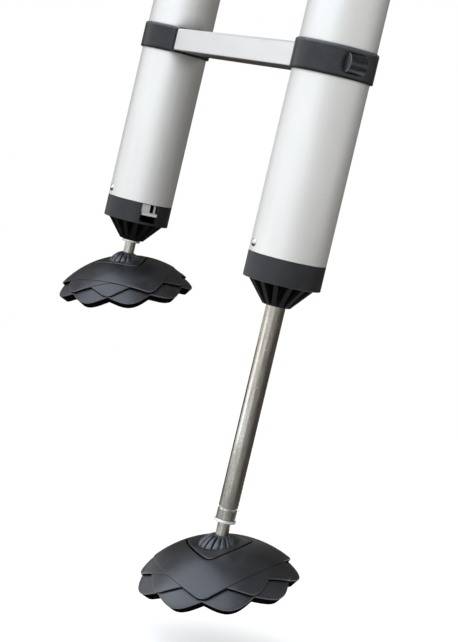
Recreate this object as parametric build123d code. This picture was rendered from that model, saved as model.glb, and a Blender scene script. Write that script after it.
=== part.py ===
from build123d import *
import math
import os

# Foot end of a telescopic ladder with two extension legs. Millimetres, +Z runs up the stiles.
# The origin is the middle of the rung's tread. +X runs from the left stile to the right stile,
# and the climbing side faces -Y. The left leg is pushed home and the right leg is drawn out.

# Stiles: two round aluminium tubes, bored out at the top for the next section of the ladder
STILE_SPACING = 400.0
STILE_DIAMETER = 72.0
STILE_WALL = 2.6
STILE_LENGTH = 300.0
STILE_END_BELOW_TREAD = 194.0
STILE_EDGE_BREAK = 0.4
STILE_SOCKET_DEPTH = 50.0
STILE_SOCKET_WALL = 2.0

# Rung: a hollow aluminium box pushed over the plugs of the two collars
RUNG_HEIGHT = 24.0
RUNG_DEPTH = 38.0
RUNG_WALL = 2.0
RUNG_CORNER_RADIUS = 2.5
RUNG_END_FROM_STILE = 45.0
TREAD_GROOVES_PER_SIDE = 3
TREAD_GROOVE_PITCH = 4.5
TREAD_GROOVE_WIDTH = 1.4
TREAD_GROOVE_DEPTH = 0.6
RUNG_RIVET_FROM_STILE = 70.0
RUNG_RIVET_BEHIND_CENTRE = 10.0

# Collars: black mouldings wrapped round the stiles, which carry the rung
COLLAR_HEIGHT = 28.0
COLLAR_ABOVE_TREAD = 2.0
COLLAR_WALL = 2.4
COLLAR_TOP_RADIUS = 1.9
COLLAR_FOOT_RADIUS = 0.8
COLLAR_NECK_INSET = 0.5
COLLAR_NECK_BLEND = 6.0
COLLAR_NECK_CORNER = 2.4
PLUG_LENGTH = 38.0
PLUG_WALL = 3.0
BOSS_RADIUS = 9.0
BOSS_LENGTH = 18.0
BOSS_STAND_OUT = 7.5
BOSS_BEHIND_CENTRE = 2.6
BOSS_EDGE_RADIUS = 0.8
BOSS_FLAT_DEPTH = 1.9
BOSS_FLAT_HEIGHT = 19.0

# Rivets with domed heads
RIVET_SHANK_RADIUS = 1.6
RIVET_GRIP = 5.0
CAP_RIVET_HEAD_RADIUS = 3.9
CAP_RIVET_HEAD_HEIGHT = 2.2
CAP_RIVET_ABOVE_STILE_END = 8.3
RUNG_RIVET_HEAD_RADIUS = 4.0
RUNG_RIVET_HEAD_HEIGHT = 1.6

# End caps: a band flush with the stile, a spigot inside it and a window for the lock lever
BAND_HEIGHT = 23.0
SPIGOT_HEIGHT = 24.0
SPIGOT_WALL = 2.9
WINDOW_WIDTH = 19.0
WINDOW_HEIGHT = 20.5

# Leg nozzle: the ribbed cone under the band, with the sleeve that the leg runs through
NOZZLE_LEDGE = 1.0
CONE_HEIGHT = 21.0
CONE_STEP = 5.0
SLEEVE_RADIUS = 13.0
CONE_RIB_COUNT = 14
CONE_RIB_THICKNESS = 4.0
CONE_RIB_TURN = 8.5
BUSH_LENGTH = 9.5
BUSH_RADIUS = 11.0
BUSH_LIP_HEIGHT = 1.5
SPRING_ROOM_RADIUS = 11.6
TOP_GUIDE_THICKNESS = 6.0
TOP_GUIDE_REGISTER = 5.0
TOP_GUIDE_HOLE_COUNT = 6
TOP_GUIDE_HOLE_RADIUS = 5.5
TOP_GUIDE_HOLE_CIRCLE = 20.0

# Lock lever: a pressed steel plate round the leg, hinged on a pin, with its tab in the window
LEVER_THICKNESS = 3.0
LEVER_CANT = 5.0
LEVER_PIVOT_FROM_WALL = 7.85
LEVER_PIVOT_DROP = 16.0
LEVER_WIDTH = 26.0
LEVER_EYE_RADIUS = 3.0
LEVER_EYE_LENGTH = 20.0
LEVER_HOLE_RADIUS = 9.5
LEVER_TAB_WIDTH = 17.0
LEVER_TAB_PAST_STILE = 0.5
LEVER_ROLL_RADIUS = 2.0
LEVER_EAR_THICKNESS = 2.4
LEVER_EAR_HEIGHT = 9.0
LEVER_EAR_INSIDE_BAND = 4.0
LEVER_WIDE_EAR = 9.6
LEVER_NARROW_EAR = 2.0
LEVER_EAR_EDGE = 0.5
PIN_RADIUS = 1.5
PIN_LENGTH = 28.6
LUG_THICKNESS = 4.2
LUG_HALF_WIDTH = 3.0

# Lock spring: an open coil round the leg, under the lever
SPRING_WIRE = 1.2
SPRING_COIL_RADIUS = 10.35
SPRING_TURNS = 5

# Legs: chromed steel tubes that slide out of the nozzles
LEG_DIAMETER = 18.0
LEG_WALL = 1.5
LEG_TRAVEL = 200.0
LEG_CRIMP_ABOVE_FLANGE = 10.5
LEG_CRIMP_DEPTH = 0.55
LEG_CRIMP_RADIUS = 1.8
STOP_RADIUS = 13.0
STOP_HEIGHT = 10.0
STOP_ROOF = 2.0
FLANGE_RADIUS = 10.0
FLANGE_THICKNESS = 2.8
FLANGE_EDGE_RADIUS = 0.8
LEG_BUSH_LENGTH = 25.0

# Stem: a shouldered steel pin that swivels in the leg bush and carries the ball
STEM_RADIUS = 6.0
STEM_PIN_RADIUS = 4.5
STEM_BELOW_FLANGE = 30.9
STEM_PAST_BUSH = 4.0
STEM_DEPTH_IN_BALL = 6.0
CLIP_THICKNESS = 1.0
CLIP_RADIUS = 6.6
CLIP_GROOVE_RADIUS = 3.6
CLIP_MOUTH = 6.0

# Ball: a nylon ball slit into spring fingers, which snaps into the foot
BALL_RADIUS = 20.0
BALL_TOP_RADIUS = 7.3
BALL_SHELL = 4.0
BALL_HUB_RADIUS = 8.6
BALL_HUB_DROP = 10.0
BALL_FINGER_DROP = 13.0
BALL_FINGER_COUNT = 16
BALL_SLIT = 1.2
BALL_SCREW_RADIUS = 2.0
BALL_SCREW_HEAD_RADIUS = 4.0
BALL_SCREW_HEAD_HEIGHT = 2.4
BALL_SCREW_LENGTH = 12.0
LINER_WALL = 1.5
LINER_TOP = 1.5
LINER_FOOT = 13.0

# Feet: stacked rubber leaves on a dome, over a lobed sole and a nylon core that holds the ball
FOOT_TILT = 16.5
LEFT_FOOT_TURN = 4.8
RIGHT_FOOT_TURN = -33.5
DOME_RADIUS = 103.0
DOME_CREST_ABOVE_BALL = 13.9
LEAF_COUNT = 3
LEAF_STACK = 3.8
LEAF_STEP = 0.65
LEAF_CORNERS = 3
LEAF_STEP_ANGLE = 40.0
LEAF_CORNER_REACH = 70.2
LEAF_SIDE_REACH = 55.5
LEAF_CORNER_ROUND = 8.0
COVER_CORNER_REACH = 35.2
COVER_SIDE_REACH = 24.0
COVER_CORNER_ROUND = 6.5
COVER_GAP = 1.5
SOLE_LOBES = 9
SOLE_THICKNESS = 10.0
SOLE_TIP_REACH = 75.1
SOLE_VALLEY_REACH = 68.9
CORE_FLANGE_RADIUS = 36.8
CORE_FLANGE_DROP = 12.5
CORE_LIP = 4.3
CORE_RADIUS = 26.0
PAD_RADIUS = 30.0
PAD_THICKNESS = 3.6
PAD_GROOVE_RADII = (10.0, 20.0)
PAD_GROOVE_WIDTH = 3.0
PAD_GROOVE_DEPTH = 1.4
FOOT_SCREW_CIRCLE = 27.0
FOOT_SCREW_RADIUS = 1.4
FOOT_SCREW_HEAD_RADIUS = 2.8
FOOT_SCREW_HEAD_HEIGHT = 1.8
FOOT_SCREW_REACH = 2.6

# Clearances between pieces
PRESS_GAP = 0.02
RUN_GAP = 0.05
SNUG_GAP = 0.15
STACK_GAP = 0.1
FREE_GAP = 0.3

# Levels and sizes that follow from the driving dimensions
STILE_RADIUS = STILE_DIAMETER / 2
STILE_BORE_RADIUS = STILE_RADIUS - STILE_WALL
STILE_END = -STILE_END_BELOW_TREAD
COLLAR_TOP = COLLAR_ABOVE_TREAD
COLLAR_FOOT = COLLAR_TOP - COLLAR_HEIGHT
COLLAR_BORE_RADIUS = STILE_RADIUS + SNUG_GAP
COLLAR_RADIUS = COLLAR_BORE_RADIUS + COLLAR_WALL
RUNG_MIDDLE = -RUNG_HEIGHT / 2
BAND_FOOT = STILE_END - BAND_HEIGHT
SPIGOT_RADIUS = STILE_BORE_RADIUS - SNUG_GAP
SPIGOT_BORE_RADIUS = SPIGOT_RADIUS - SPIGOT_WALL
FLOOR_TOP = STILE_END - WINDOW_HEIGHT
CONE_END = BAND_FOOT - CONE_HEIGHT
CONE_TOP_RADIUS = STILE_RADIUS - CONE_STEP
BUSH_FOOT = CONE_END + BUSH_LIP_HEIGHT
BUSH_TOP = BUSH_FOOT + BUSH_LENGTH
GUIDE_SEAT = STILE_END + SPIGOT_HEIGHT
GUIDE_TOP = GUIDE_SEAT + TOP_GUIDE_THICKNESS
LEVER_PIVOT = STILE_END - LEVER_PIVOT_DROP
LEVER_PIVOT_FROM_LEG = SPIGOT_BORE_RADIUS - LEVER_PIVOT_FROM_WALL
LEG_RADIUS = LEG_DIAMETER / 2
LEG_BORE_RADIUS = LEG_RADIUS - LEG_WALL
LEG_GUIDE_RADIUS = LEG_RADIUS + RUN_GAP
FLANGE_TOP = CONE_END - FREE_GAP
FLANGE_FOOT = FLANGE_TOP - FLANGE_THICKNESS
STOP_FOOT = GUIDE_TOP + FREE_GAP + LEG_TRAVEL
LEG_TOP = STOP_FOOT + STOP_HEIGHT
BALL_CENTRE = FLANGE_FOOT - STEM_BELOW_FLANGE
BALL_TOP = math.sqrt(BALL_RADIUS**2 - BALL_TOP_RADIUS**2)
LINER_BORE_RADIUS = BALL_RADIUS + FREE_GAP
LINER_RADIUS = LINER_BORE_RADIUS + LINER_WALL
SOCKET_RADIUS = LINER_RADIUS + FREE_GAP
DOME_CENTRE = DOME_CREST_ABOVE_BALL - DOME_RADIUS
SOLE_TOP_RADIUS = DOME_RADIUS - LEAF_STACK
SOLE_FOOT_RADIUS = SOLE_TOP_RADIUS - SOLE_THICKNESS
SOLE_TIP_HEIGHT = math.sqrt(SOLE_TOP_RADIUS**2 - SOLE_TIP_REACH**2)
SOLE_VALLEY_HEIGHT = math.sqrt(SOLE_TOP_RADIUS**2 - SOLE_VALLEY_REACH**2)
SOLE_GROUND = DOME_CENTRE + SOLE_TIP_HEIGHT * SOLE_FOOT_RADIUS / SOLE_TOP_RADIUS
PAD_TOP = SOLE_GROUND + PAD_THICKNESS
CORE_FLOOR = PAD_TOP + STACK_GAP


def post(radius, bottom, top):
    """A round bar on the Z axis between two levels."""
    return Pos(0, 0, (bottom + top) / 2) * Cylinder(radius, top - bottom)


def ring(outer, inner, bottom, top):
    """A round tube on the Z axis between two levels."""
    return post(outer, bottom, top) - post(inner, bottom, top)


def bar_along_y(radius, length, x, z):
    """A round bar across the ladder's depth."""
    return Pos(x, 0, z) * Rot(90, 0, 0) * Cylinder(radius, length)


def bar_along_x(radius, length, y, z):
    """A round bar along the rung's direction."""
    return Pos(0, y, z) * Rot(0, 90, 0) * Cylinder(radius, length)


def block(x_low, x_high, y_low, y_high, z_low, z_high):
    """A box between two corners."""
    middle = Pos((x_low + x_high) / 2, (y_low + y_high) / 2, (z_low + z_high) / 2)
    return middle * Box(x_high - x_low, y_high - y_low, z_high - z_low)


def round_the_axis(count, piece):
    """Copies of a piece, evenly turned about the Z axis."""
    return [Rot(0, 0, 360 / count * i) * piece for i in range(count)]


def rivet(head_radius, head_height, sink):
    """A domed rivet along +Z: the head above the seat at z = 0, reaching down by sink, then the shank."""
    dome_radius = (head_radius**2 + head_height**2) / (2 * head_height)
    crown = Pos(0, 0, head_height - dome_radius) * Sphere(dome_radius)
    head = crown & post(head_radius + 1, 0, head_height + 1)
    head += post(head_radius, -sink, 0)
    return head + post(RIVET_SHANK_RADIUS, -RIVET_GRIP, 0)


def stile():
    top = STILE_END + STILE_LENGTH
    tube = ring(STILE_RADIUS, STILE_BORE_RADIUS, STILE_END, top)
    tube -= post(STILE_RADIUS - STILE_SOCKET_WALL, top - STILE_SOCKET_DEPTH, top)
    levels = tube.edges().filter_by(GeomType.CIRCLE).group_by(Axis.Z)
    tube = chamfer(levels[0] + levels[-1], STILE_EDGE_BREAK)
    rivet_level = STILE_END + CAP_RIVET_ABOVE_STILE_END
    return tube - bar_along_y(RIVET_SHANK_RADIUS + PRESS_GAP, 2 * STILE_DIAMETER, 0, rivet_level)


def rung():
    half = STILE_SPACING / 2 - RUNG_END_FROM_STILE
    outline = RectangleRounded(RUNG_DEPTH, RUNG_HEIGHT, RUNG_CORNER_RADIUS)
    outline -= Rectangle(RUNG_DEPTH - 2 * RUNG_WALL, RUNG_HEIGHT - 2 * RUNG_WALL)
    box = extrude(Plane.YZ.offset(-half) * outline, 2 * half)
    box = Pos(0, 0, RUNG_MIDDLE) * box
    for i in range(TREAD_GROOVES_PER_SIDE):
        for side in (-1, 1):
            y = side * TREAD_GROOVE_PITCH * (i + 1)
            half_width = TREAD_GROOVE_WIDTH / 2
            box -= block(-half, half, y - half_width, y + half_width, -TREAD_GROOVE_DEPTH, 1)
    for side in (-1, 1):
        x = side * (STILE_SPACING / 2 - RUNG_RIVET_FROM_STILE)
        hole = post(RIVET_SHANK_RADIUS + PRESS_GAP, -RUNG_HEIGHT - 1, RUNG_MIDDLE)
        box -= Pos(x, RUNG_RIVET_BEHIND_CENTRE, 0) * hole
    return box


def rung_rivets():
    pieces = []
    for side in (-1, 1):
        x = side * (STILE_SPACING / 2 - RUNG_RIVET_FROM_STILE)
        seat = Pos(x, RUNG_RIVET_BEHIND_CENTRE, -RUNG_HEIGHT - PRESS_GAP) * Rot(180, 0, 0)
        pieces.append(seat * rivet(RUNG_RIVET_HEAD_RADIUS, RUNG_RIVET_HEAD_HEIGHT, PRESS_GAP))
    return Compound(children=pieces)


def collar():
    # Outline seen from above: the ring blends into the neck that meets the end of the rung
    neck_width = RUNG_DEPTH - 2 * COLLAR_NECK_INSET
    outline = Circle(COLLAR_RADIUS)
    outline += Pos(RUNG_END_FROM_STILE / 2, 0) * Rectangle(RUNG_END_FROM_STILE, neck_width)
    corners = outline.vertices().sort_by(Axis.X)
    outline = fillet(corners[-2:], COLLAR_NECK_CORNER)
    roots = [v for v in outline.vertices() if abs(abs(v.Y) - neck_width / 2) < 0.01]
    outline = fillet(ShapeList(roots).sort_by(Axis.X)[:2], COLLAR_NECK_BLEND)
    body = extrude(Pos(0, 0, COLLAR_FOOT) * outline, COLLAR_HEIGHT)
    body = fillet(body.edges().group_by(Axis.Z)[-1], COLLAR_TOP_RADIUS)
    body = fillet(body.edges().group_by(Axis.Z)[0], COLLAR_FOOT_RADIUS)
    # Flat on the outer end, and the barrel-shaped boss that stands on it
    flat = BOSS_FLAT_DEPTH - COLLAR_RADIUS
    low, high = RUNG_MIDDLE - BOSS_FLAT_HEIGHT / 2, RUNG_MIDDLE + BOSS_FLAT_HEIGHT / 2
    body -= block(-2 * COLLAR_RADIUS, flat, -COLLAR_RADIUS, COLLAR_RADIUS, low, high)
    boss_axis = BOSS_RADIUS - BOSS_STAND_OUT - COLLAR_RADIUS
    boss = bar_along_y(BOSS_RADIUS, BOSS_LENGTH, boss_axis, RUNG_MIDDLE)
    boss = fillet(boss.edges().filter_by(GeomType.CIRCLE), BOSS_EDGE_RADIUS)
    body += Pos(0, BOSS_BEHIND_CENTRE, 0) * boss
    # Hollow plug that the rung is pushed over, with the hole for its rivet
    plug_depth = RUNG_DEPTH - 2 * RUNG_WALL - 2 * SNUG_GAP
    plug_height = RUNG_HEIGHT - 2 * RUNG_WALL - 2 * SNUG_GAP
    plug_outline = Rectangle(plug_depth, plug_height)
    plug_outline -= Rectangle(plug_depth - 2 * PLUG_WALL, plug_height - 2 * PLUG_WALL)
    plug = extrude(Plane.YZ.offset(RUNG_END_FROM_STILE - PLUG_WALL) * plug_outline, PLUG_LENGTH + PLUG_WALL)
    body += Pos(0, 0, RUNG_MIDDLE) * plug
    rivet_hole = post(RIVET_SHANK_RADIUS + PRESS_GAP, -RUNG_HEIGHT, RUNG_MIDDLE)
    body -= Pos(RUNG_RIVET_FROM_STILE, RUNG_RIVET_BEHIND_CENTRE, 0) * rivet_hole
    return body - post(COLLAR_BORE_RADIUS, COLLAR_FOOT - 1, COLLAR_TOP + 1)


def end_cap():
    body = ring(STILE_RADIUS, SPIGOT_BORE_RADIUS, BAND_FOOT, STILE_END)
    body = chamfer(body.edges().group_by(Axis.Z)[0].sort_by(SortBy.LENGTH)[-1], STILE_EDGE_BREAK)
    body += ring(SPIGOT_RADIUS, SPIGOT_BORE_RADIUS, STILE_END, GUIDE_SEAT)
    # Counterbore that the floor of the nozzle is pushed up into
    body -= post(SPIGOT_BORE_RADIUS + NOZZLE_LEDGE, BAND_FOOT, FLOOR_TOP)
    half = WINDOW_WIDTH / 2
    body -= block(LEG_DIAMETER, STILE_DIAMETER, -half, half, FLOOR_TOP, STILE_END)
    rivet_level = STILE_END + CAP_RIVET_ABOVE_STILE_END
    return body - bar_along_y(RIVET_SHANK_RADIUS + PRESS_GAP, 2 * STILE_DIAMETER, 0, rivet_level)


def cap_rivets():
    # The underside of each head follows the round of the stile
    level = STILE_END + CAP_RIVET_ABOVE_STILE_END
    sink = STILE_RADIUS - math.sqrt(STILE_RADIUS**2 - CAP_RIVET_HEAD_RADIUS**2)
    one = rivet(CAP_RIVET_HEAD_RADIUS, CAP_RIVET_HEAD_HEIGHT, sink)
    reach = 2 * CAP_RIVET_HEAD_RADIUS
    hollow = ring(STILE_RADIUS + PRESS_GAP, STILE_BORE_RADIUS, level - reach, level + reach)
    hollow -= bar_along_y(RIVET_SHANK_RADIUS, 2 * STILE_DIAMETER, 0, level)
    pieces = []
    for side in (-1, 1):
        seat = Pos(0, side * STILE_RADIUS, level) * Rot(-side * 90, 0, 0)
        pieces.append(seat * one - hollow)
    return Compound(children=pieces)


def leg_nozzle():
    floor_radius = SPIGOT_BORE_RADIUS + NOZZLE_LEDGE - SNUG_GAP
    body = post(floor_radius, BAND_FOOT, FLOOR_TOP - STACK_GAP)
    body += post(SLEEVE_RADIUS, CONE_END, FLOOR_TOP - STACK_GAP)
    # Radial ribs whose outer edges lie on the cone
    corners = [(0, BAND_FOOT), (CONE_TOP_RADIUS, BAND_FOOT), (SLEEVE_RADIUS, CONE_END), (0, CONE_END)]
    outline = Polyline(*corners, close=True)
    rib = extrude(Plane.XZ * make_face(outline), CONE_RIB_THICKNESS / 2, both=True)
    body += round_the_axis(CONE_RIB_COUNT, Rot(0, 0, CONE_RIB_TURN) * rib)
    # Two lugs that hold the ends of the lever's pin
    lug_inner = LEVER_EYE_LENGTH / 2 + FREE_GAP
    for side in (-1, 1):
        near, far = sorted((side * lug_inner, side * (lug_inner + LUG_THICKNESS)))
        left = -LEVER_PIVOT_FROM_LEG - LUG_HALF_WIDTH
        right = -LEVER_PIVOT_FROM_LEG + LUG_HALF_WIDTH
        body += block(left, right, near, far, BAND_FOOT, LEVER_PIVOT)
        head = bar_along_y(LUG_HALF_WIDTH, LUG_THICKNESS, -LEVER_PIVOT_FROM_LEG, LEVER_PIVOT)
        body += Pos(0, (near + far) / 2, 0) * head
    body -= bar_along_y(PIN_RADIUS + PRESS_GAP, 2 * PIN_LENGTH, -LEVER_PIVOT_FROM_LEG, LEVER_PIVOT)
    # Bore: a lip under the bush, the bush's seat and the room for the spring
    body -= post(LEG_RADIUS + 2 * FREE_GAP, CONE_END - 1, FLOOR_TOP)
    body -= post(BUSH_RADIUS + PRESS_GAP, BUSH_FOOT, FLOOR_TOP)
    return body - post(SPRING_ROOM_RADIUS, BUSH_TOP, FLOOR_TOP)


def lower_bush():
    return ring(BUSH_RADIUS, LEG_GUIDE_RADIUS, BUSH_FOOT, BUSH_TOP)


def top_guide():
    body = post(SPIGOT_RADIUS, GUIDE_SEAT, GUIDE_TOP)
    body += post(SPIGOT_BORE_RADIUS - SNUG_GAP, GUIDE_SEAT - TOP_GUIDE_REGISTER, GUIDE_SEAT)
    hole = post(TOP_GUIDE_HOLE_RADIUS, GUIDE_SEAT - TOP_GUIDE_REGISTER, GUIDE_TOP)
    body -= round_the_axis(TOP_GUIDE_HOLE_COUNT, Pos(TOP_GUIDE_HOLE_CIRCLE, 0, 0) * hole)
    return body - post(LEG_GUIDE_RADIUS, GUIDE_SEAT - TOP_GUIDE_REGISTER, GUIDE_TOP)


def lock_lever():
    # Drawn flat with its hinge on the Y axis, then canted up to where the spring holds it
    half_plate = LEVER_THICKNESS / 2
    hole_x = LEVER_PIVOT_FROM_LEG / math.cos(math.radians(LEVER_CANT))
    wide_from = LEVER_EYE_RADIUS + 2 * FREE_GAP
    wide_to = hole_x + LEVER_HOLE_RADIUS + LEVER_THICKNESS
    tip_x = LEVER_PIVOT_FROM_LEG + STILE_RADIUS + LEVER_TAB_PAST_STILE
    half_tab = LEVER_TAB_WIDTH / 2
    half_eye = LEVER_EYE_LENGTH / 2
    half_wide = LEVER_WIDTH / 2
    plate = block(0, wide_from + half_plate, -half_eye, half_eye, -half_plate, half_plate)
    wide = block(wide_from, wide_to, -half_wide, half_wide, -half_plate, half_plate)
    plate += fillet(wide.edges().filter_by(Axis.Z), LEVER_THICKNESS)
    plate += block(hole_x, tip_x, -half_tab, half_tab, -half_plate, half_plate)
    plate += bar_along_y(LEVER_EYE_RADIUS, LEVER_EYE_LENGTH, 0, 0)
    plate += bar_along_y(LEVER_ROLL_RADIUS, LEVER_TAB_WIDTH, tip_x, 0)
    # Two upright ears with a slot between them, just inside the band
    ear_out = LEVER_PIVOT_FROM_LEG + STILE_RADIUS - LEVER_EAR_INSIDE_BAND
    ear_in = ear_out - LEVER_EAR_THICKNESS
    ear_top = half_plate + LEVER_EAR_HEIGHT
    wide_start = -half_tab + LEVER_EAR_EDGE
    narrow_end = half_tab - LEVER_EAR_EDGE
    plate += block(ear_in, ear_out, wide_start, wide_start + LEVER_WIDE_EAR, 0, ear_top)
    plate += block(ear_in, ear_out, narrow_end - LEVER_NARROW_EAR, narrow_end, 0, ear_top)
    plate -= Pos(hole_x, 0, 0) * post(LEVER_HOLE_RADIUS, -LEVER_THICKNESS, LEVER_THICKNESS)
    plate -= bar_along_y(PIN_RADIUS + RUN_GAP, 2 * LEVER_EYE_LENGTH, 0, 0)
    return Pos(-LEVER_PIVOT_FROM_LEG, 0, LEVER_PIVOT) * Rot(0, -LEVER_CANT, 0) * plate


def lock_pin():
    return bar_along_y(PIN_RADIUS, PIN_LENGTH, -LEVER_PIVOT_FROM_LEG, LEVER_PIVOT)


def spring_levels():
    """Lowest and highest centre of the spring's wire, between the bush and the canted lever."""
    low = BUSH_TOP + STACK_GAP + SPRING_WIRE / 2
    nearest = LEVER_PIVOT_FROM_LEG - SPRING_COIL_RADIUS - SPRING_WIRE / 2
    cant = math.radians(LEVER_CANT)
    under_lever = LEVER_PIVOT + nearest * math.tan(cant) - LEVER_THICKNESS / 2 / math.cos(cant)
    return low, under_lever - FREE_GAP - SPRING_WIRE / 2


def coil_point(share):
    """Point of the spring's centre line, from its foot at 0 to its top at 1."""
    low, high = spring_levels()
    turn = 2 * math.pi * SPRING_TURNS * share
    x = SPRING_COIL_RADIUS * math.cos(turn)
    y = SPRING_COIL_RADIUS * math.sin(turn)
    return Vector(x, y, low + (high - low) * share)


def coil_heading(share):
    """Unit direction of the spring's centre line."""
    low, high = spring_levels()
    turn = 2 * math.pi * SPRING_TURNS * share
    rate = 2 * math.pi * SPRING_TURNS * SPRING_COIL_RADIUS
    return Vector(-rate * math.sin(turn), rate * math.cos(turn), high - low).normalized()


def biarc(start, start_heading, end, end_heading):
    """Two arcs that leave and arrive along the given headings and share a tangent between them."""
    across = end - start
    both = start_heading + end_heading
    spread = 2 * (1 - start_heading.dot(end_heading))
    along = across.dot(both)
    reach = (math.sqrt(along**2 + spread * across.dot(across)) - along) / spread
    first = start + start_heading * reach
    second = end - end_heading * reach
    middle = (first + second) * 0.5
    heading = (second - first).normalized()
    return [TangentArc(start, middle, tangent=start_heading), TangentArc(middle, end, tangent=heading)]


def coil_gap():
    """Least gap between one turn of the spring and the next, measured on points."""
    steps = 40
    turn_points = [coil_point(i / steps / SPRING_TURNS) for i in range(steps * SPRING_TURNS + 1)]
    least = math.inf
    for i, point in enumerate(turn_points):
        for other in turn_points[i + steps // 2:]:
            least = min(least, (other - point).length)
    return least - SPRING_WIRE


def lock_spring():
    quarters = 4 * SPRING_TURNS
    arcs = []
    for i in range(quarters):
        here, there = i / quarters, (i + 1) / quarters
        arcs += biarc(coil_point(here), coil_heading(here), coil_point(there), coil_heading(there))
    start = Plane(origin=coil_point(0), z_dir=coil_heading(0))
    return sweep(start * Circle(SPRING_WIRE / 2), path=Wire(arcs))


def leg_tube():
    tube = ring(LEG_RADIUS, LEG_BORE_RADIUS, FLANGE_TOP + STACK_GAP, LEG_TOP)
    # Rolled groove that grips the bush in the tube's lower end
    groove = Torus(LEG_RADIUS + LEG_CRIMP_RADIUS - LEG_CRIMP_DEPTH, LEG_CRIMP_RADIUS)
    tube -= Pos(0, 0, FLANGE_TOP + LEG_CRIMP_ABOVE_FLANGE) * groove
    return tube - bar_along_x(PIN_RADIUS + PRESS_GAP, LEG_DIAMETER * 2, 0, STOP_FOOT + STOP_HEIGHT / 2)


def leg_stop():
    body = post(STOP_RADIUS, STOP_FOOT, LEG_TOP + STACK_GAP + STOP_ROOF)
    body = fillet(body.edges().group_by(Axis.Z)[-1], STOP_ROOF / 2)
    body -= post(LEG_RADIUS + PRESS_GAP, STOP_FOOT, LEG_TOP + STACK_GAP)
    return body - bar_along_x(PIN_RADIUS + PRESS_GAP, STOP_RADIUS * 4, 0, STOP_FOOT + STOP_HEIGHT / 2)


def stop_pin():
    return bar_along_x(PIN_RADIUS, 2 * STOP_RADIUS - 2 * FREE_GAP, 0, STOP_FOOT + STOP_HEIGHT / 2)


def leg_bush():
    flange = post(FLANGE_RADIUS, FLANGE_FOOT, FLANGE_TOP)
    flange = fillet(flange.edges().filter_by(GeomType.CIRCLE), FLANGE_EDGE_RADIUS)
    body = flange + post(LEG_BORE_RADIUS - PRESS_GAP, FLANGE_TOP, FLANGE_TOP + LEG_BUSH_LENGTH)
    return body - post(STEM_PIN_RADIUS + RUN_GAP, FLANGE_FOOT, FLANGE_TOP + LEG_BUSH_LENGTH)


def clip_level():
    """Lower face of the retaining clip, just above the bush."""
    return FLANGE_TOP + LEG_BUSH_LENGTH + STACK_GAP


def stem():
    bush_top = FLANGE_TOP + LEG_BUSH_LENGTH
    body = post(STEM_RADIUS, BALL_CENTRE - STEM_DEPTH_IN_BALL, FLANGE_FOOT - STACK_GAP)
    pin = post(STEM_PIN_RADIUS, FLANGE_FOOT - STACK_GAP, bush_top + STEM_PAST_BUSH)
    body += chamfer(pin.edges().group_by(Axis.Z)[-1], STILE_EDGE_BREAK)
    groove_foot = clip_level() - PRESS_GAP
    groove_top = clip_level() + CLIP_THICKNESS + PRESS_GAP
    body -= ring(STEM_RADIUS, CLIP_GROOVE_RADIUS, groove_foot, groove_top)
    screw_top = BALL_CENTRE - BALL_HUB_DROP + BALL_SCREW_LENGTH + STACK_GAP
    return body - post(BALL_SCREW_RADIUS + PRESS_GAP, BALL_CENTRE - STEM_DEPTH_IN_BALL, screw_top)


def stem_clip():
    bottom, top = clip_level(), clip_level() + CLIP_THICKNESS
    body = ring(CLIP_RADIUS, CLIP_GROOVE_RADIUS + PRESS_GAP, bottom, top)
    return body - block(0, CLIP_RADIUS, -CLIP_MOUTH / 2, CLIP_MOUTH / 2, bottom, top)


def ball_head():
    # Hollow ball on a central hub, slit into fingers that all spring from the top of the hub
    ball = Sphere(BALL_RADIUS) - Sphere(BALL_RADIUS - BALL_SHELL)
    ball += post(BALL_HUB_RADIUS, -BALL_HUB_DROP, BALL_TOP) & Sphere(BALL_RADIUS)
    ball &= post(BALL_RADIUS + 1, -BALL_FINGER_DROP, BALL_TOP)
    slit = block(BALL_HUB_RADIUS, BALL_RADIUS + 1, -BALL_SLIT / 2, BALL_SLIT / 2, -BALL_RADIUS, BALL_TOP)
    ball -= round_the_axis(BALL_FINGER_COUNT, slit)
    ball -= post(STEM_RADIUS + PRESS_GAP, -STEM_DEPTH_IN_BALL - STACK_GAP, BALL_TOP + 1)
    return ball - post(BALL_SCREW_RADIUS + PRESS_GAP, -BALL_HUB_DROP - 1, 0)


def ball_screw():
    head_foot = -BALL_HUB_DROP - BALL_SCREW_HEAD_HEIGHT
    head = post(BALL_SCREW_HEAD_RADIUS, head_foot, -BALL_HUB_DROP)
    head = fillet(head.edges().group_by(Axis.Z)[0], BALL_SCREW_HEAD_HEIGHT / 3)
    return head + post(BALL_SCREW_RADIUS, -BALL_HUB_DROP, -BALL_HUB_DROP + BALL_SCREW_LENGTH)


def ball_liner():
    shell = Sphere(LINER_RADIUS) - Sphere(LINER_BORE_RADIUS)
    return shell & post(LINER_RADIUS + 1, -LINER_FOOT, LINER_TOP)


def dome(radius):
    """A ball about the centre that all the layers of the foot share."""
    return Pos(0, 0, DOME_CENTRE) * Sphere(radius)


def leaf_outline(corner_reach, side_reach, rounding):
    """Three-cornered outline with bowed sides, one corner on +X."""
    sides = []
    for i in range(LEAF_CORNERS):
        step = 360 / LEAF_CORNERS
        ends = [Vector(corner_reach, 0).rotate(Axis.Z, step * (i + j)) for j in (0, 1)]
        middle = Vector(side_reach, 0).rotate(Axis.Z, step * (i + 0.5))
        sides.append(ThreePointArc(ends[0], middle, ends[1]))
    face = make_face(sides)
    return fillet(face.vertices(), rounding)


def layer(outline, outer_radius, inner_radius):
    """A sheet of the foot: an outline pressed onto the dome, between two balls about its centre."""
    prism = extrude(Pos(0, 0, DOME_CENTRE) * outline, 2 * DOME_RADIUS)
    return (prism & dome(outer_radius)) - dome(inner_radius)


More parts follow.
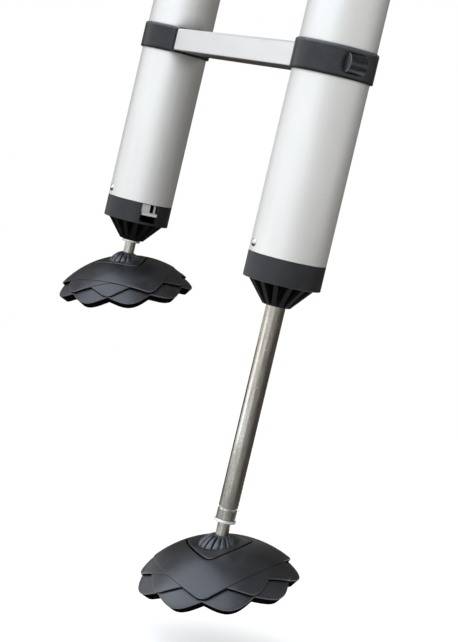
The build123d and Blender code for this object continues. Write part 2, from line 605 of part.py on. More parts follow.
def foot_cover():
    outline = leaf_outline(COVER_CORNER_REACH, COVER_SIDE_REACH, COVER_CORNER_ROUND)
    sheet = layer(outline, DOME_RADIUS, SOLE_TOP_RADIUS)
    bore = Pos(FOOT_SCREW_CIRCLE, 0, 0) * post(FOOT_SCREW_RADIUS + PRESS_GAP, -DOME_RADIUS, DOME_RADIUS)
    inside = dome(SOLE_TOP_RADIUS + FOOT_SCREW_REACH + STACK_GAP)
    for one in round_the_axis(LEAF_CORNERS, bore):
        sheet -= one & inside
    return sheet - Sphere(LINER_BORE_RADIUS)


def leaf_blank(number, grow):
    """One leaf as if it lay alone on the sole, grown all over by a clearance. Number 0 is the highest."""
    turn = (0, LEAF_STEP_ANGLE, -LEAF_STEP_ANGLE)[number]
    outline = leaf_outline(LEAF_CORNER_REACH + grow, LEAF_SIDE_REACH + grow, LEAF_CORNER_ROUND + grow)
    top = DOME_RADIUS - number * LEAF_STEP
    return layer(Rot(0, 0, turn) * outline, top + grow, SOLE_TOP_RADIUS + STACK_GAP - grow)


def foot_leaf(number):
    """A leaf lies on the lower ones, and its corners reach down past them to the sole."""
    sheet = leaf_blank(number, 0)
    for lower in range(number + 1, LEAF_COUNT):
        sheet -= leaf_blank(lower, STACK_GAP)
    corner, side = COVER_CORNER_REACH + COVER_GAP, COVER_SIDE_REACH + COVER_GAP
    opening = leaf_outline(corner, side, COVER_CORNER_ROUND + COVER_GAP)
    return sheet - extrude(Pos(0, 0, -DOME_RADIUS) * opening, 2 * DOME_RADIUS)


def lobed_outline(height):
    """Scalloped outline of the sole at a height above the dome's centre, towards which its edge runs."""
    valley = SOLE_VALLEY_REACH * height / SOLE_VALLEY_HEIGHT
    tip = SOLE_TIP_REACH * height / SOLE_TIP_HEIGHT
    lobes = []
    step = 360 / SOLE_LOBES
    for i in range(SOLE_LOBES):
        ends = [Vector(valley, 0).rotate(Axis.Z, step * (i + j)) for j in (0, 1)]
        lobes.append(ThreePointArc(ends[0], Vector(tip, 0).rotate(Axis.Z, step * (i + 0.5)), ends[1]))
    return Pos(0, 0, DOME_CENTRE + height) * make_face(lobes)


def foot_sole():
    # The edge is cut square to the domed sheet, so it leans inwards below
    spread = loft([lobed_outline(SOLE_TIP_HEIGHT / 2), lobed_outline(DOME_RADIUS)], ruled=True)
    sheet = (spread & dome(SOLE_TOP_RADIUS)) - dome(SOLE_FOOT_RADIUS)
    return sheet - post(CORE_FLANGE_RADIUS + FREE_GAP, -DOME_RADIUS, DOME_RADIUS)


def foot_core():
    # Flange between the leaves and the sole, a lip under the sole and a cup round the ball
    body = post(CORE_FLANGE_RADIUS, -CORE_FLANGE_DROP, DOME_CREST_ABOVE_BALL)
    body &= dome(SOLE_TOP_RADIUS - STACK_GAP)
    lip = post(CORE_FLANGE_RADIUS + CORE_LIP, -CORE_FLANGE_DROP, DOME_CREST_ABOVE_BALL)
    body += lip & dome(SOLE_FOOT_RADIUS - STACK_GAP)
    body += post(CORE_RADIUS, CORE_FLOOR, -CORE_FLANGE_DROP)
    hole = Pos(FOOT_SCREW_CIRCLE, 0, 0) * post(FOOT_SCREW_RADIUS + SNUG_GAP, -CORE_FLANGE_DROP, DOME_RADIUS)
    body -= round_the_axis(LEAF_CORNERS, hole)
    head_room = post(FOOT_SCREW_HEAD_RADIUS + FREE_GAP, CORE_FLOOR, -CORE_FLANGE_DROP)
    body -= round_the_axis(LEAF_CORNERS, Pos(FOOT_SCREW_CIRCLE, 0, 0) * head_room)
    return body - Sphere(SOCKET_RADIUS)


def foot_screws():
    seat = -CORE_FLANGE_DROP - STACK_GAP
    head = post(FOOT_SCREW_HEAD_RADIUS, seat - FOOT_SCREW_HEAD_HEIGHT, seat)
    head = fillet(head.edges().group_by(Axis.Z)[0], FOOT_SCREW_HEAD_HEIGHT / 3)
    shank = post(FOOT_SCREW_RADIUS, seat, DOME_RADIUS)
    inside = Pos(-FOOT_SCREW_CIRCLE, 0, 0) * dome(SOLE_TOP_RADIUS + FOOT_SCREW_REACH)
    screw = head + (shank & inside)
    return Compound(children=round_the_axis(LEAF_CORNERS, Pos(FOOT_SCREW_CIRCLE, 0, 0) * screw))


def foot_pad():
    body = post(PAD_RADIUS, SOLE_GROUND, PAD_TOP)
    body = chamfer(body.edges().group_by(Axis.Z)[-1], STILE_EDGE_BREAK)
    for radius in PAD_GROOVE_RADII:
        half = PAD_GROOVE_WIDTH / 2
        body -= ring(radius + half, radius - half, SOLE_GROUND, SOLE_GROUND + PAD_GROOVE_DEPTH)
    return body


# Pieces of one side, drawn round the left stile's axis with the leg pushed home
FIXED_PIECES = {
    "stile": stile(),
    "collar": collar(),
    "end_cap": end_cap(),
    "cap_rivets": cap_rivets(),
    "leg_nozzle": leg_nozzle(),
    "lower_bush": lower_bush(),
    "top_guide": top_guide(),
    "lock_lever": lock_lever(),
    "lock_pin": lock_pin(),
    "lock_spring": lock_spring(),
}
LEG_PIECES = {
    "leg_tube": leg_tube(),
    "leg_stop": leg_stop(),
    "stop_pin": stop_pin(),
    "leg_bush": leg_bush(),
    "stem": stem(),
    "stem_clip": stem_clip(),
}
BALL_PIECES = {
    "ball_head": ball_head(),
    "ball_screw": ball_screw(),
}
FOOT_PIECES = {
    "ball_liner": ball_liner(),
    "foot_cover": foot_cover(),
    "foot_leaf_upper": foot_leaf(0),
    "foot_leaf_middle": foot_leaf(1),
    "foot_leaf_lower": foot_leaf(2),
    "foot_sole": foot_sole(),
    "foot_core": foot_core(),
    "foot_screws": foot_screws(),
    "foot_pad": foot_pad(),
}

os.makedirs("parts", exist_ok=True)
export_step(rung(), "parts/rung.step")
export_step(rung_rivets(), "parts/rung_rivets.step")
SIDES = (("left", -1, 0.0, LEFT_FOOT_TURN), ("right", 1, LEG_TRAVEL, RIGHT_FOOT_TURN))
for side_name, side, drawn_out, foot_turn in SIDES:
    stile_axis = Pos(side * STILE_SPACING / 2, 0, 0)
    leg_place = stile_axis * Pos(0, 0, -drawn_out)
    ball_place = leg_place * Pos(0, 0, BALL_CENTRE)
    foot_place = ball_place * Rot(FOOT_TILT, 0, 0) * Rot(0, 0, foot_turn)
    for name, piece in FIXED_PIECES.items():
        facing = piece if side < 0 else mirror(piece, Plane.YZ)
        export_step(stile_axis * facing, f"parts/{side_name}_{name}.step")
    for name, piece in LEG_PIECES.items():
        export_step(leg_place * piece, f"parts/{side_name}_{name}.step")
    for name, piece in BALL_PIECES.items():
        export_step(ball_place * piece, f"parts/{side_name}_{name}.step")
    for name, piece in FOOT_PIECES.items():
        export_step(foot_place * piece, f"parts/{side_name}_{name}.step")

print(f"Least gap between turns of the lock spring: {coil_gap():.2f} mm")
print(f"Foot stands {-SOLE_GROUND:.2f} mm below the ball's centre")
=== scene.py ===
import math

import bmesh
import bpy
from mathutils import Matrix, Vector


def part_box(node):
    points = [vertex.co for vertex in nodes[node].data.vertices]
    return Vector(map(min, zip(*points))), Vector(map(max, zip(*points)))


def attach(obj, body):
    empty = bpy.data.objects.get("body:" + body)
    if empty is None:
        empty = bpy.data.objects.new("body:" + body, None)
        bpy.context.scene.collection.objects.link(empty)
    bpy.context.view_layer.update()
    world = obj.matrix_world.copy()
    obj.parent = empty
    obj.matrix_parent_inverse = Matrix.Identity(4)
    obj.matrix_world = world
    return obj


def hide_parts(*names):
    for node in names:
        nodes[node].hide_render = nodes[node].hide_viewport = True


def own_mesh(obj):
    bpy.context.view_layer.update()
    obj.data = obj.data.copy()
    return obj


# Foot end of a telescopic ladder: two stiles, the lowest rung, and in each stile a leg that slides out
# and stands on a tilting rubber foot. Metres, +Z up the stiles, the climbing side towards -Y.
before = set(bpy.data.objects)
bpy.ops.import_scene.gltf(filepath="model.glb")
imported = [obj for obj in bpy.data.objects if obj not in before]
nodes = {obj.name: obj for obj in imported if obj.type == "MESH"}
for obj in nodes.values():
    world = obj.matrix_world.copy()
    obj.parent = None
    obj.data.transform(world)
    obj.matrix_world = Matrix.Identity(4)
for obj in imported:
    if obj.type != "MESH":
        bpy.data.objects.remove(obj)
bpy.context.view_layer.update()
MM = 0.001
SIDES = ("left", "right")

# Stiles: two round tubes of drawn aluminium, brushed along their length and anodised to a pale satin.
# The sections that slide in and out of them have left a few rubbed streaks.
# Where other parts stand close, as under the rung and the collars, the tubes are painted darker as shade.
STILE_PALE = (0.869, 0.858, 0.834)
STILE_DULL = (0.814, 0.803, 0.774)
STILE_SCUFF = (0.50, 0.49, 0.47)
STILE_PAINTED_SHADE = (0.24, 0.228, 0.21)
STILE_SHADE_DEPTH = 40 * MM


class Finish:
    """A surface built up from grains, which drive its colour, its gloss and its relief."""

    def __init__(self, name, metallic=0.0, specular=0.5, gloss_tint=(1.0, 1.0, 1.0)):
        self.material = bpy.data.materials.new(name)
        self.material.use_nodes = True
        self.tree = self.material.node_tree
        self.shader = self.tree.nodes["Principled BSDF"]
        self.shader.inputs["Metallic"].default_value = metallic
        self.shader.inputs["Specular IOR Level"].default_value = specular
        self.shader.inputs["Specular Tint"].default_value = (*gloss_tint, 1.0)
        self.place = self.add("ShaderNodeTexCoord").outputs["Object"]
        self.normal = None

    def add(self, kind, **inputs):
        """A node with some of its sockets set or linked by name."""
        node = self.tree.nodes.new(kind)
        for name, value in inputs.items():
            socket = node.inputs[name.replace("_", " ")]
            if isinstance(value, bpy.types.NodeSocket):
                self.tree.links.new(value, socket)
            else:
                socket.default_value = value
        return node

    def sum(self, operation, first, second):
        """Two numbers put together by an arithmetic operation."""
        node = self.add("ShaderNodeMath")
        node.operation = operation
        for socket, value in zip(node.inputs, (first, second)):
            if isinstance(value, bpy.types.NodeSocket):
                self.tree.links.new(value, socket)
            else:
                socket.default_value = value
        return node.outputs["Value"]

    def grain(self, size, stretch=(1, 1, 1), detail=3.0, shift=0.0):
        """Noise with marks of about the given size, drawn out along the axes by stretch."""
        spread = [1 / (size * along) for along in stretch]
        moved = (shift, shift, shift)
        mapping = self.add("ShaderNodeMapping", Vector=self.place, Scale=spread, Location=moved)
        noise = self.add("ShaderNodeTexNoise", Vector=mapping.outputs["Vector"], Scale=1.0, Detail=detail)
        return noise.outputs["Fac"]

    def between(self, source, low, high, from_value=0.3, to_value=0.7):
        """A number that runs from low to high as the grain runs between two values."""
        node = self.add("ShaderNodeMapRange", Value=source, From_Min=from_value, From_Max=to_value,
                        To_Min=low, To_Max=high)
        return node.outputs["Result"]

    def blend(self, share, first, second):
        """One colour passing into another."""
        node = self.tree.nodes.new("ShaderNodeMix")
        node.data_type = "RGBA"
        sockets = {"Factor": share, "A": first, "B": second}
        for socket in node.inputs:
            value = sockets.get(socket.name)
            if value is None or (socket.name != "Factor" and socket.type != "RGBA") or not socket.enabled:
                continue
            if isinstance(value, bpy.types.NodeSocket):
                self.tree.links.new(value, socket)
            else:
                socket.default_value = value if socket.name == "Factor" else (*value, 1)
        return next(socket for socket in node.outputs if socket.type == "RGBA")

    def colour(self, source):
        """Links a colour to the surface."""
        self.tree.links.new(source, self.shader.inputs["Base Color"])

    def gloss(self, source):
        """Links a roughness to the surface."""
        self.tree.links.new(source, self.shader.inputs["Roughness"])

    def relief(self, source, depth):
        """Raises the surface by up to depth where the grain is high."""
        node = self.add("ShaderNodeBump", Height=source, Distance=depth, Strength=1.0)
        if self.normal is not None:
            self.tree.links.new(self.normal, node.inputs["Normal"])
        self.normal = node.outputs["Normal"]
        self.tree.links.new(self.normal, self.shader.inputs["Normal"])

    def round_edges(self, radius):
        """Softens sharp edges, and returns a mask that is 1 along them."""
        soft = self.add("ShaderNodeBevel", Radius=radius).outputs["Normal"]
        true = self.add("ShaderNodeNewGeometry").outputs["Normal"]
        product = self.tree.nodes.new("ShaderNodeVectorMath")
        product.operation = "DOT_PRODUCT"
        self.tree.links.new(soft, product.inputs[0])
        self.tree.links.new(true, product.inputs[1])
        self.normal = soft
        self.tree.links.new(soft, self.shader.inputs["Normal"])
        return self.between(product.outputs["Value"], 1.0, 0.0, 0.75, 0.998)

    def corner_shade(self, depth):
        """A mask that is 1 in corners and hollows, out to about the given depth, where colour is darkened
        as painted shade.
        """
        open_share = self.add("ShaderNodeAmbientOcclusion", Distance=depth).outputs["AO"]
        return self.between(open_share, 1.0, 0.0, 0.35, 0.85)

    def mark(self, name):
        """A number written on the points of the mesh."""
        node = self.add("ShaderNodeAttribute")
        node.attribute_name = name
        return node.outputs["Fac"]

    def wear(self, *names):
        """Puts this finish on solids, given by name."""
        for name in names:
            nodes[name].data.materials.clear()
            nodes[name].data.materials.append(self.material)


satin_aluminium = Finish("satin_aluminium", metallic=0.8)
edge = satin_aluminium.round_edges(0.3 * MM)
brushing = satin_aluminium.grain(0.25 * MM, stretch=(1, 1, 160), detail=2.0)
clouding = satin_aluminium.grain(22 * MM, stretch=(1, 1, 5))
rubbed = satin_aluminium.grain(1.6 * MM, stretch=(1, 1, 30), detail=4.0, shift=7.0)
pale = satin_aluminium.blend(satin_aluminium.between(clouding, 0, 1), STILE_PALE, STILE_DULL)
marked = satin_aluminium.blend(satin_aluminium.between(rubbed, 0, 0.35, 0.70, 0.80), pale, STILE_SCUFF)
# Painted shade: the stile darkens where nearby parts close it in.
corner_shaded = satin_aluminium.blend(satin_aluminium.corner_shade(STILE_SHADE_DEPTH), marked, STILE_PAINTED_SHADE)
satin_aluminium.colour(satin_aluminium.blend(edge, corner_shaded, STILE_PALE))
satin_aluminium.gloss(satin_aluminium.between(brushing, 0.46, 0.54))
satin_aluminium.relief(brushing, 0.004 * MM)
satin_aluminium.wear("left_stile", "right_stile")

# Collars: black nylon mouldings wrapped round the stiles. Each has a plug for the rung, and outside a
# barrel-shaped boss where the mould closed. They are glossy, and handling has scuffed the boss. The
# shoulder and the upper edges carry a painted highlight, the boss's rim and ends a painted highlight
# and reflection, and the foot edge painted shade.
NYLON_BLACK = (0.006, 0.0063, 0.0075)
NYLON_WORN = (0.014, 0.0145, 0.016)
NYLON_EDGE_WEAR_AND_HIGHLIGHT = (0.125, 0.128, 0.138)
NYLON_SHOULDER_HIGHLIGHT = (0.085, 0.0875, 0.095)
NYLON_SCUFF_AND_HIGHLIGHT = (0.15, 0.153, 0.160)
NYLON_END_FACE_REFLECTION = (0.070, 0.072, 0.078)
NYLON_GLOSS = (0.90, 0.94, 1.0)
COLLAR_TOP = 2.0 * MM
COLLAR_FOOT = -26.0 * MM
SHOULDER_START = COLLAR_TOP - 3.2 * MM
SHOULDER_FULL = COLLAR_TOP - 1.6 * MM
SHINE_START = COLLAR_FOOT + 0.6 * MM
SHINE_FULL = COLLAR_FOOT + 3.0 * MM
BOSS_FROM_MIDDLE = 238.6 * MM
BOSS_BEHIND_CENTRE = 2.6 * MM
BOSS_HALF_LENGTH = 9.0 * MM
BOSS_RIM_START = BOSS_HALF_LENGTH - 0.8 * MM
BOSS_END_START = BOSS_HALF_LENGTH - 0.05 * MM
BOSS_END_PAST = BOSS_HALF_LENGTH + 0.05 * MM
BOSS_BLEND = 0.4 * MM

black_moulding = Finish("black_moulding", specular=0.62, gloss_tint=NYLON_GLOSS)
edge = black_moulding.round_edges(1.0 * MM)
lean = black_moulding.add("ShaderNodeSeparateXYZ", Vector=black_moulding.normal).outputs["Z"]
# Edges are a little lighter all round as wear, and those that face up much more as a painted highlight.
worn_and_lit_edge = black_moulding.sum("MULTIPLY", edge, black_moulding.between(lean, 0.15, 1.0, 0.0, 0.3))
spark_pits = black_moulding.grain(0.35 * MM, detail=2.0)
handling = black_moulding.grain(9 * MM, detail=5.0)
scratches = black_moulding.grain(0.8 * MM, stretch=(2, 2, 5), detail=3.0, shift=3.0)
along = black_moulding.add("ShaderNodeSeparateXYZ", Vector=black_moulding.place).outputs
far_out = black_moulding.sum("ABSOLUTE", along["X"], 0.0)
on_boss = black_moulding.between(
    far_out, 0.0, 1.0, BOSS_FROM_MIDDLE - BOSS_BLEND, BOSS_FROM_MIDDLE + BOSS_BLEND)
off_middle = black_moulding.sum("SUBTRACT", along["Y"], BOSS_BEHIND_CENTRE)
from_boss_middle = black_moulding.sum("ABSOLUTE", off_middle, 0.0)
# Painted highlight: a narrow band at each end of the barrel takes the scuff colour, besides the real
# scratches.
past_barrel = black_moulding.between(from_boss_middle, 0.0, 1.0, BOSS_RIM_START, BOSS_HALF_LENGTH)
short_of_end = black_moulding.between(from_boss_middle, 1.0, 0.0, BOSS_END_START, BOSS_HALF_LENGTH)
boss_rim_highlight = black_moulding.sum("MULTIPLY", past_barrel, short_of_end)
scratches_and_rim_highlight = black_moulding.sum("MAXIMUM", black_moulding.between(scratches, 0, 0.3, 0.60, 0.78), boss_rim_highlight)
boss_scuffs_and_highlight = black_moulding.sum("MULTIPLY", scratches_and_rim_highlight, on_boss)
dull = black_moulding.blend(black_moulding.between(handling, 0, 1, 0.45, 0.7), NYLON_BLACK, NYLON_WORN)
# Painted reflection: the barrel's end faces are lighter than the rest of the moulding.
boss_end = black_moulding.between(from_boss_middle, 0.0, 1.0, BOSS_END_START, BOSS_HALF_LENGTH)
beyond_end = black_moulding.between(from_boss_middle, 1.0, 0.0, BOSS_HALF_LENGTH, BOSS_END_PAST)
end_face = black_moulding.sum("MULTIPLY", boss_end, beyond_end)
lit_end_face = black_moulding.sum("MULTIPLY", end_face, on_boss)
rubbed = black_moulding.blend(lit_end_face, dull, NYLON_END_FACE_REFLECTION)
scuffed = black_moulding.blend(boss_scuffs_and_highlight, rubbed, NYLON_SCUFF_AND_HIGHLIGHT)
# Painted highlight: a band along the top of the collar is lighter, where the rounded shoulder faces up.
lit_shoulder = black_moulding.between(along["Z"], 0.0, 1.0, SHOULDER_START, SHOULDER_FULL)
shoulder_lit = black_moulding.blend(lit_shoulder, scuffed, NYLON_SHOULDER_HIGHLIGHT)
black_moulding.colour(black_moulding.blend(worn_and_lit_edge, shoulder_lit, NYLON_EDGE_WEAR_AND_HIGHLIGHT))
# Painted shade: the gloss fades out over the lowest 3 mm, so that the foot edge shows dark.
shine = black_moulding.between(along["Z"], 0.05, 0.62, SHINE_START, SHINE_FULL)
black_moulding.tree.links.new(shine, black_moulding.shader.inputs["Specular IOR Level"])
black_moulding.gloss(black_moulding.between(handling, 0.24, 0.36))
black_moulding.relief(spark_pits, 0.012 * MM)
black_moulding.wear("left_collar", "right_collar")

# Rung: a hollow aluminium box with a grooved tread, pushed over the plugs of the two collars.
# It is extruded, so its draw lines run from stile to stile, and its underside is painted dark as shade.
RUNG_PALE = (0.965, 0.95, 0.93)
RUNG_DULL = (0.915, 0.90, 0.878)
RUNG_UNDERSIDE_SHADE = (0.034, 0.025, 0.018)
RUNG_SHADE_TOP = -22.6 * MM
RUNG_SHADE_FULL = RUNG_SHADE_TOP - 0.8 * MM
RUNG_SHADE_RAGGED = 0.15 * MM

rung_aluminium = Finish("rung_aluminium", metallic=0.6)
edge = rung_aluminium.round_edges(0.4 * MM)
draw_lines = rung_aluminium.grain(0.3 * MM, stretch=(150, 1, 1), detail=2.0)
clouding = rung_aluminium.grain(16 * MM, stretch=(4, 1, 1))
pale = rung_aluminium.blend(rung_aluminium.between(clouding, 0, 1), RUNG_PALE, RUNG_DULL)
edged = rung_aluminium.blend(edge, pale, RUNG_PALE)
height = rung_aluminium.add("ShaderNodeSeparateXYZ", Vector=rung_aluminium.place).outputs["Z"]
wander = rung_aluminium.between(clouding, -RUNG_SHADE_RAGGED, RUNG_SHADE_RAGGED)
ragged = rung_aluminium.sum("ADD", height, wander)
# Painted shade: the faces below the rung's lower edges, with a ragged border.
shaded_underside = rung_aluminium.between(ragged, 0.97, 0.0, RUNG_SHADE_FULL, RUNG_SHADE_TOP)
rung_aluminium.colour(rung_aluminium.blend(shaded_underside, edged, RUNG_UNDERSIDE_SHADE))
rung_aluminium.gloss(rung_aluminium.between(draw_lines, 0.38, 0.46))
rung_aluminium.relief(draw_lines, 0.004 * MM)
rung_aluminium.wear("rung")

# Rung rivets: domed nylon plugs pressed through the rung's underside into the collars' plugs.
# They are the same black moulding as the collars.
black_moulding.wear("rung_rivets")

# End caps: a black band flush with each stile and a spigot inside it, moulded in one with the window
# for the lock lever. The band has a finer, drier grain than the collars.
CAP_BLACK = (0.005, 0.005, 0.0056)
CAP_WORN = (0.013, 0.013, 0.014)
CAP_EDGE = (0.045, 0.046, 0.049)

black_cap = Finish("black_cap", specular=0.61, gloss_tint=NYLON_GLOSS)
edge = black_cap.round_edges(0.4 * MM)
spark_pits = black_cap.grain(0.28 * MM, detail=2.0)
handling = black_cap.grain(12 * MM, detail=5.0)
dull = black_cap.blend(black_cap.between(handling, 0, 1), CAP_BLACK, CAP_WORN)
black_cap.colour(black_cap.blend(edge, dull, CAP_EDGE))
black_cap.gloss(black_cap.between(handling, 0.36, 0.46))
black_cap.relief(spark_pits, 0.015 * MM)
black_cap.wear("left_end_cap", "right_end_cap")

# Cap rivets: aluminium rivets with domed heads, set through the stile and the spigot.
# The setting tool has left the crowns bright and faintly dimpled.
# Their downward-facing sides and the seams under their rims are painted dark as shade.
RIVET_BRIGHT = (0.86, 0.86, 0.84)
RIVET_DULL = (0.60, 0.60, 0.58)
RIVET_PAINTED_SHADE = (0.06, 0.055, 0.05)

rivet_aluminium = Finish("rivet_aluminium", metallic=1.0)
dimples = rivet_aluminium.grain(0.8 * MM, detail=2.0)
bright = rivet_aluminium.blend(rivet_aluminium.between(dimples, 0, 1), RIVET_BRIGHT, RIVET_DULL)
facing = rivet_aluminium.add("ShaderNodeNewGeometry").outputs["Normal"]
upward = rivet_aluminium.add("ShaderNodeSeparateXYZ", Vector=facing).outputs["Z"]
# Painted shade on the faces that look down and in the seam round the head.
under = rivet_aluminium.between(upward, 1.0, 0.0, -0.35, -0.02)
shaded_rim = rivet_aluminium.sum("MAXIMUM", under, rivet_aluminium.corner_shade(1.2 * MM))
rivet_aluminium.colour(rivet_aluminium.blend(shaded_rim, bright, RIVET_PAINTED_SHADE))
rivet_aluminium.gloss(rivet_aluminium.between(dimples, 0.16, 0.28))
rivet_aluminium.relief(dimples, 0.03 * MM)
rivet_aluminium.wear("left_cap_rivets", "right_cap_rivets")

# Leg nozzles: ribbed cones under the bands, with the sleeve that the leg runs through.
# One black nylon moulding with the lever's lugs on top, left matt from the mould.
NOZZLE_BLACK = (0.009, 0.009, 0.0092)
NOZZLE_DUSTY = (0.015, 0.015, 0.0155)
NOZZLE_EDGE = (0.022, 0.022, 0.023)

matt_nozzle = Finish("matt_nozzle", specular=0.08)
edge = matt_nozzle.round_edges(0.4 * MM)
mould_grain = matt_nozzle.grain(0.4 * MM, detail=2.0)
dust = matt_nozzle.grain(8 * MM, detail=4.0)
dull = matt_nozzle.blend(matt_nozzle.between(dust, 0, 1), NOZZLE_BLACK, NOZZLE_DUSTY)
matt_nozzle.colour(matt_nozzle.blend(edge, dull, NOZZLE_EDGE))
matt_nozzle.gloss(matt_nozzle.between(dust, 0.48, 0.60))
matt_nozzle.relief(mould_grain, 0.02 * MM)
matt_nozzle.wear("left_leg_nozzle", "right_leg_nozzle")

# Lower bushes and top guides: grey acetal rings that steady the leg in the nozzle and on the spigot.
# Both are turned, so they carry fine rings of tool marks.
ACETAL_GREY = (0.30, 0.30, 0.29)
ACETAL_RUBBED = (0.20, 0.20, 0.19)

grey_acetal = Finish("grey_acetal")
edge = grey_acetal.round_edges(0.3 * MM)
tool_rings = grey_acetal.grain(0.4 * MM, stretch=(12, 12, 1), detail=2.0)
rubbing = grey_acetal.grain(5 * MM)
grey = grey_acetal.blend(grey_acetal.between(rubbing, 0, 1), ACETAL_GREY, ACETAL_RUBBED)
grey_acetal.colour(grey_acetal.blend(edge, grey, ACETAL_GREY))
grey_acetal.gloss(grey_acetal.between(tool_rings, 0.35, 0.5))
grey_acetal.relief(tool_rings, 0.02 * MM)
for side in SIDES:
    grey_acetal.wear(side + "_lower_bush", side + "_top_guide")

# Lock levers and their pins: pressed steel plates round the legs, zinc plated, each hinged on a pin.
# The tab that a finger presses is rubbed bright, and the zinc is clouded.
# Its corners are painted dark as shade.
ZINC_BRIGHT = (0.95, 0.95, 0.935)
ZINC_CLOUDED = (0.86, 0.855, 0.835)
ZINC_CORNER_SHADE = (0.05, 0.045, 0.04)

zinc_plate = Finish("zinc_plate", metallic=1.0)
edge = zinc_plate.round_edges(0.35 * MM)
spangle = zinc_plate.grain(3 * MM, detail=4.0)
fine_scratches = zinc_plate.grain(0.3 * MM, stretch=(1, 9, 1), detail=2.0)
clouded = zinc_plate.blend(zinc_plate.between(spangle, 0, 1), ZINC_BRIGHT, ZINC_CLOUDED)
rubbed = zinc_plate.blend(edge, clouded, ZINC_BRIGHT)
# Painted shade in the corners of the pressed plates.
zinc_plate.colour(zinc_plate.blend(zinc_plate.corner_shade(1.5 * MM), rubbed, ZINC_CORNER_SHADE))
zinc_plate.gloss(zinc_plate.between(spangle, 0.48, 0.64))
zinc_plate.relief(fine_scratches, 0.008 * MM)
for side in SIDES:
    zinc_plate.wear(side + "_lock_lever", side + "_lock_pin")

# Lock springs: open coils of spring wire round the legs, which hold the levers canted until they are
# pressed. Each is one wire wound on a mandrel, with a dark oiled skin.
SPRING_WIRE = 1.2 * MM
SPRING_TURNS = 5
STEPS_PER_TURN = 48
WIRE_STEPS = 12
WIRE_BRIGHT = (0.40, 0.39, 0.37)
WIRE_DARK = (0.16, 0.155, 0.15)

spring_wire = Finish("spring_wire", metallic=1.0)
drawing = spring_wire.grain(0.3 * MM, stretch=(5, 5, 1), detail=2.0)
spring_wire.colour(spring_wire.blend(spring_wire.between(drawing, 0, 1), WIRE_BRIGHT, WIRE_DARK))
spring_wire.gloss(spring_wire.between(drawing, 0.25, 0.4))
spring_wire.relief(drawing, 0.01 * MM)


def new_piece(name, points, faces, material, smooth_angle=40):
    """A mesh object from points and faces. The faces are turned to look outward, and shaded smooth where
    they meet at less than the given angle."""
    mesh = bpy.data.meshes.new(name)
    mesh.from_pydata(points, [], faces)
    mesh.validate()
    shell = bmesh.new()
    shell.from_mesh(mesh)
    bmesh.ops.recalc_face_normals(shell, faces=shell.faces)
    shell.to_mesh(mesh)
    shell.free()
    mesh.polygons.foreach_set("use_smooth", [True] * len(mesh.polygons))
    mesh.set_sharp_from_angle(angle=math.radians(smooth_angle))
    mesh.materials.append(material)
    piece = bpy.data.objects.new(name, mesh)
    bpy.context.scene.collection.objects.link(piece)
    return piece


def skin(rows, closed_rows=False):
    """Quads between rows of points that each run right round, as one list of points and one of faces."""
    count = len(rows[0])
    points = [point for row in rows for point in row]
    faces = []
    for i in range(len(rows) if closed_rows else len(rows) - 1):
        here, there = i * count, (i + 1) % len(rows) * count
        for j in range(count):
            k = (j + 1) % count
            faces.append((here + j, here + k, there + k, there + j))
    return points, faces


for side in SIDES:
    low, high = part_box(side + "_lock_spring")
    axis = (low + high) / 2
    coil_radius = (high.x - low.x - SPRING_WIRE) / 2
    foot = low.z + SPRING_WIRE / 2
    rise = high.z - low.z - SPRING_WIRE
    hand = 1 if side == "left" else -1
    start = 0 if side == "left" else math.pi
    steps = STEPS_PER_TURN * SPRING_TURNS
    rows = []
    for i in range(steps + 1):
        turn = start + hand * 2 * math.pi * SPRING_TURNS * i / steps
        outward = Vector((math.cos(turn), math.sin(turn), 0))
        middle = Vector((axis.x, axis.y, foot + rise * i / steps)) + outward * coil_radius
        row = []
        for j in range(WIRE_STEPS):
            around = 2 * math.pi * j / WIRE_STEPS
            spoke = outward * math.cos(around) + Vector((0, 0, math.sin(around)))
            row.append(middle + spoke * SPRING_WIRE / 2)
        rows.append(row)
    points, faces = skin(rows)
    faces.append(tuple(reversed(range(WIRE_STEPS))))
    faces.append(tuple(range(len(points) - WIRE_STEPS, len(points))))
    spring = new_piece(side + "_lock_coil", points, faces, spring_wire.material)
    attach(spring, "ladder_base")
    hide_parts(side + "_lock_spring")
    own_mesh(spring)

# Leg tubes: drawn steel tubes, chromed and worn by the bush. The plating shows lengthwise streaks of warm
# tarnish, fine scratches and small bright nicks, and the rolled groove near the foot is polished.
CHROME_BRIGHT = (0.530, 0.515, 0.468)
CHROME_TARNISHED = (0.368, 0.348, 0.300)
CHROME_SCRATCH = (0.72, 0.71, 0.69)

worn_chrome = Finish("worn_chrome", metallic=1.0)
edge = worn_chrome.round_edges(0.3 * MM)
tarnish = worn_chrome.grain(2.4 * MM, stretch=(1, 1, 9), detail=4.0)
long_scratches = worn_chrome.grain(0.35 * MM, stretch=(1, 1, 60), detail=2.0)
nicks = worn_chrome.grain(1.1 * MM, stretch=(1, 1, 2), detail=3.0, shift=5.0)
aged = worn_chrome.blend(worn_chrome.between(tarnish, 0, 1, 0.35, 0.65), CHROME_BRIGHT, CHROME_TARNISHED)
scratched = worn_chrome.blend(worn_chrome.between(nicks, 0, 0.9, 0.60, 0.70), aged, CHROME_SCRATCH)
worn_chrome.colour(worn_chrome.blend(edge, scratched, CHROME_SCRATCH))
worn_chrome.gloss(worn_chrome.between(long_scratches, 0.10, 0.25))
worn_chrome.relief(long_scratches, 0.008 * MM)
worn_chrome.wear("left_leg_tube", "right_leg_tube")

# Leg stops and their pins: acetal rings on the hidden top ends of the legs, cross pinned, which meet
# the top guide when a leg is drawn right out.
for side in SIDES:
    grey_acetal.wear(side + "_leg_stop")
    zinc_plate.wear(side + "_stop_pin")

# Leg bushes: flanged steel bushes in the lower ends of the tubes, gripped by the rolled groove.
# Their flanges are turned bright.
zinc_plate.wear("left_leg_bush", "right_leg_bush")

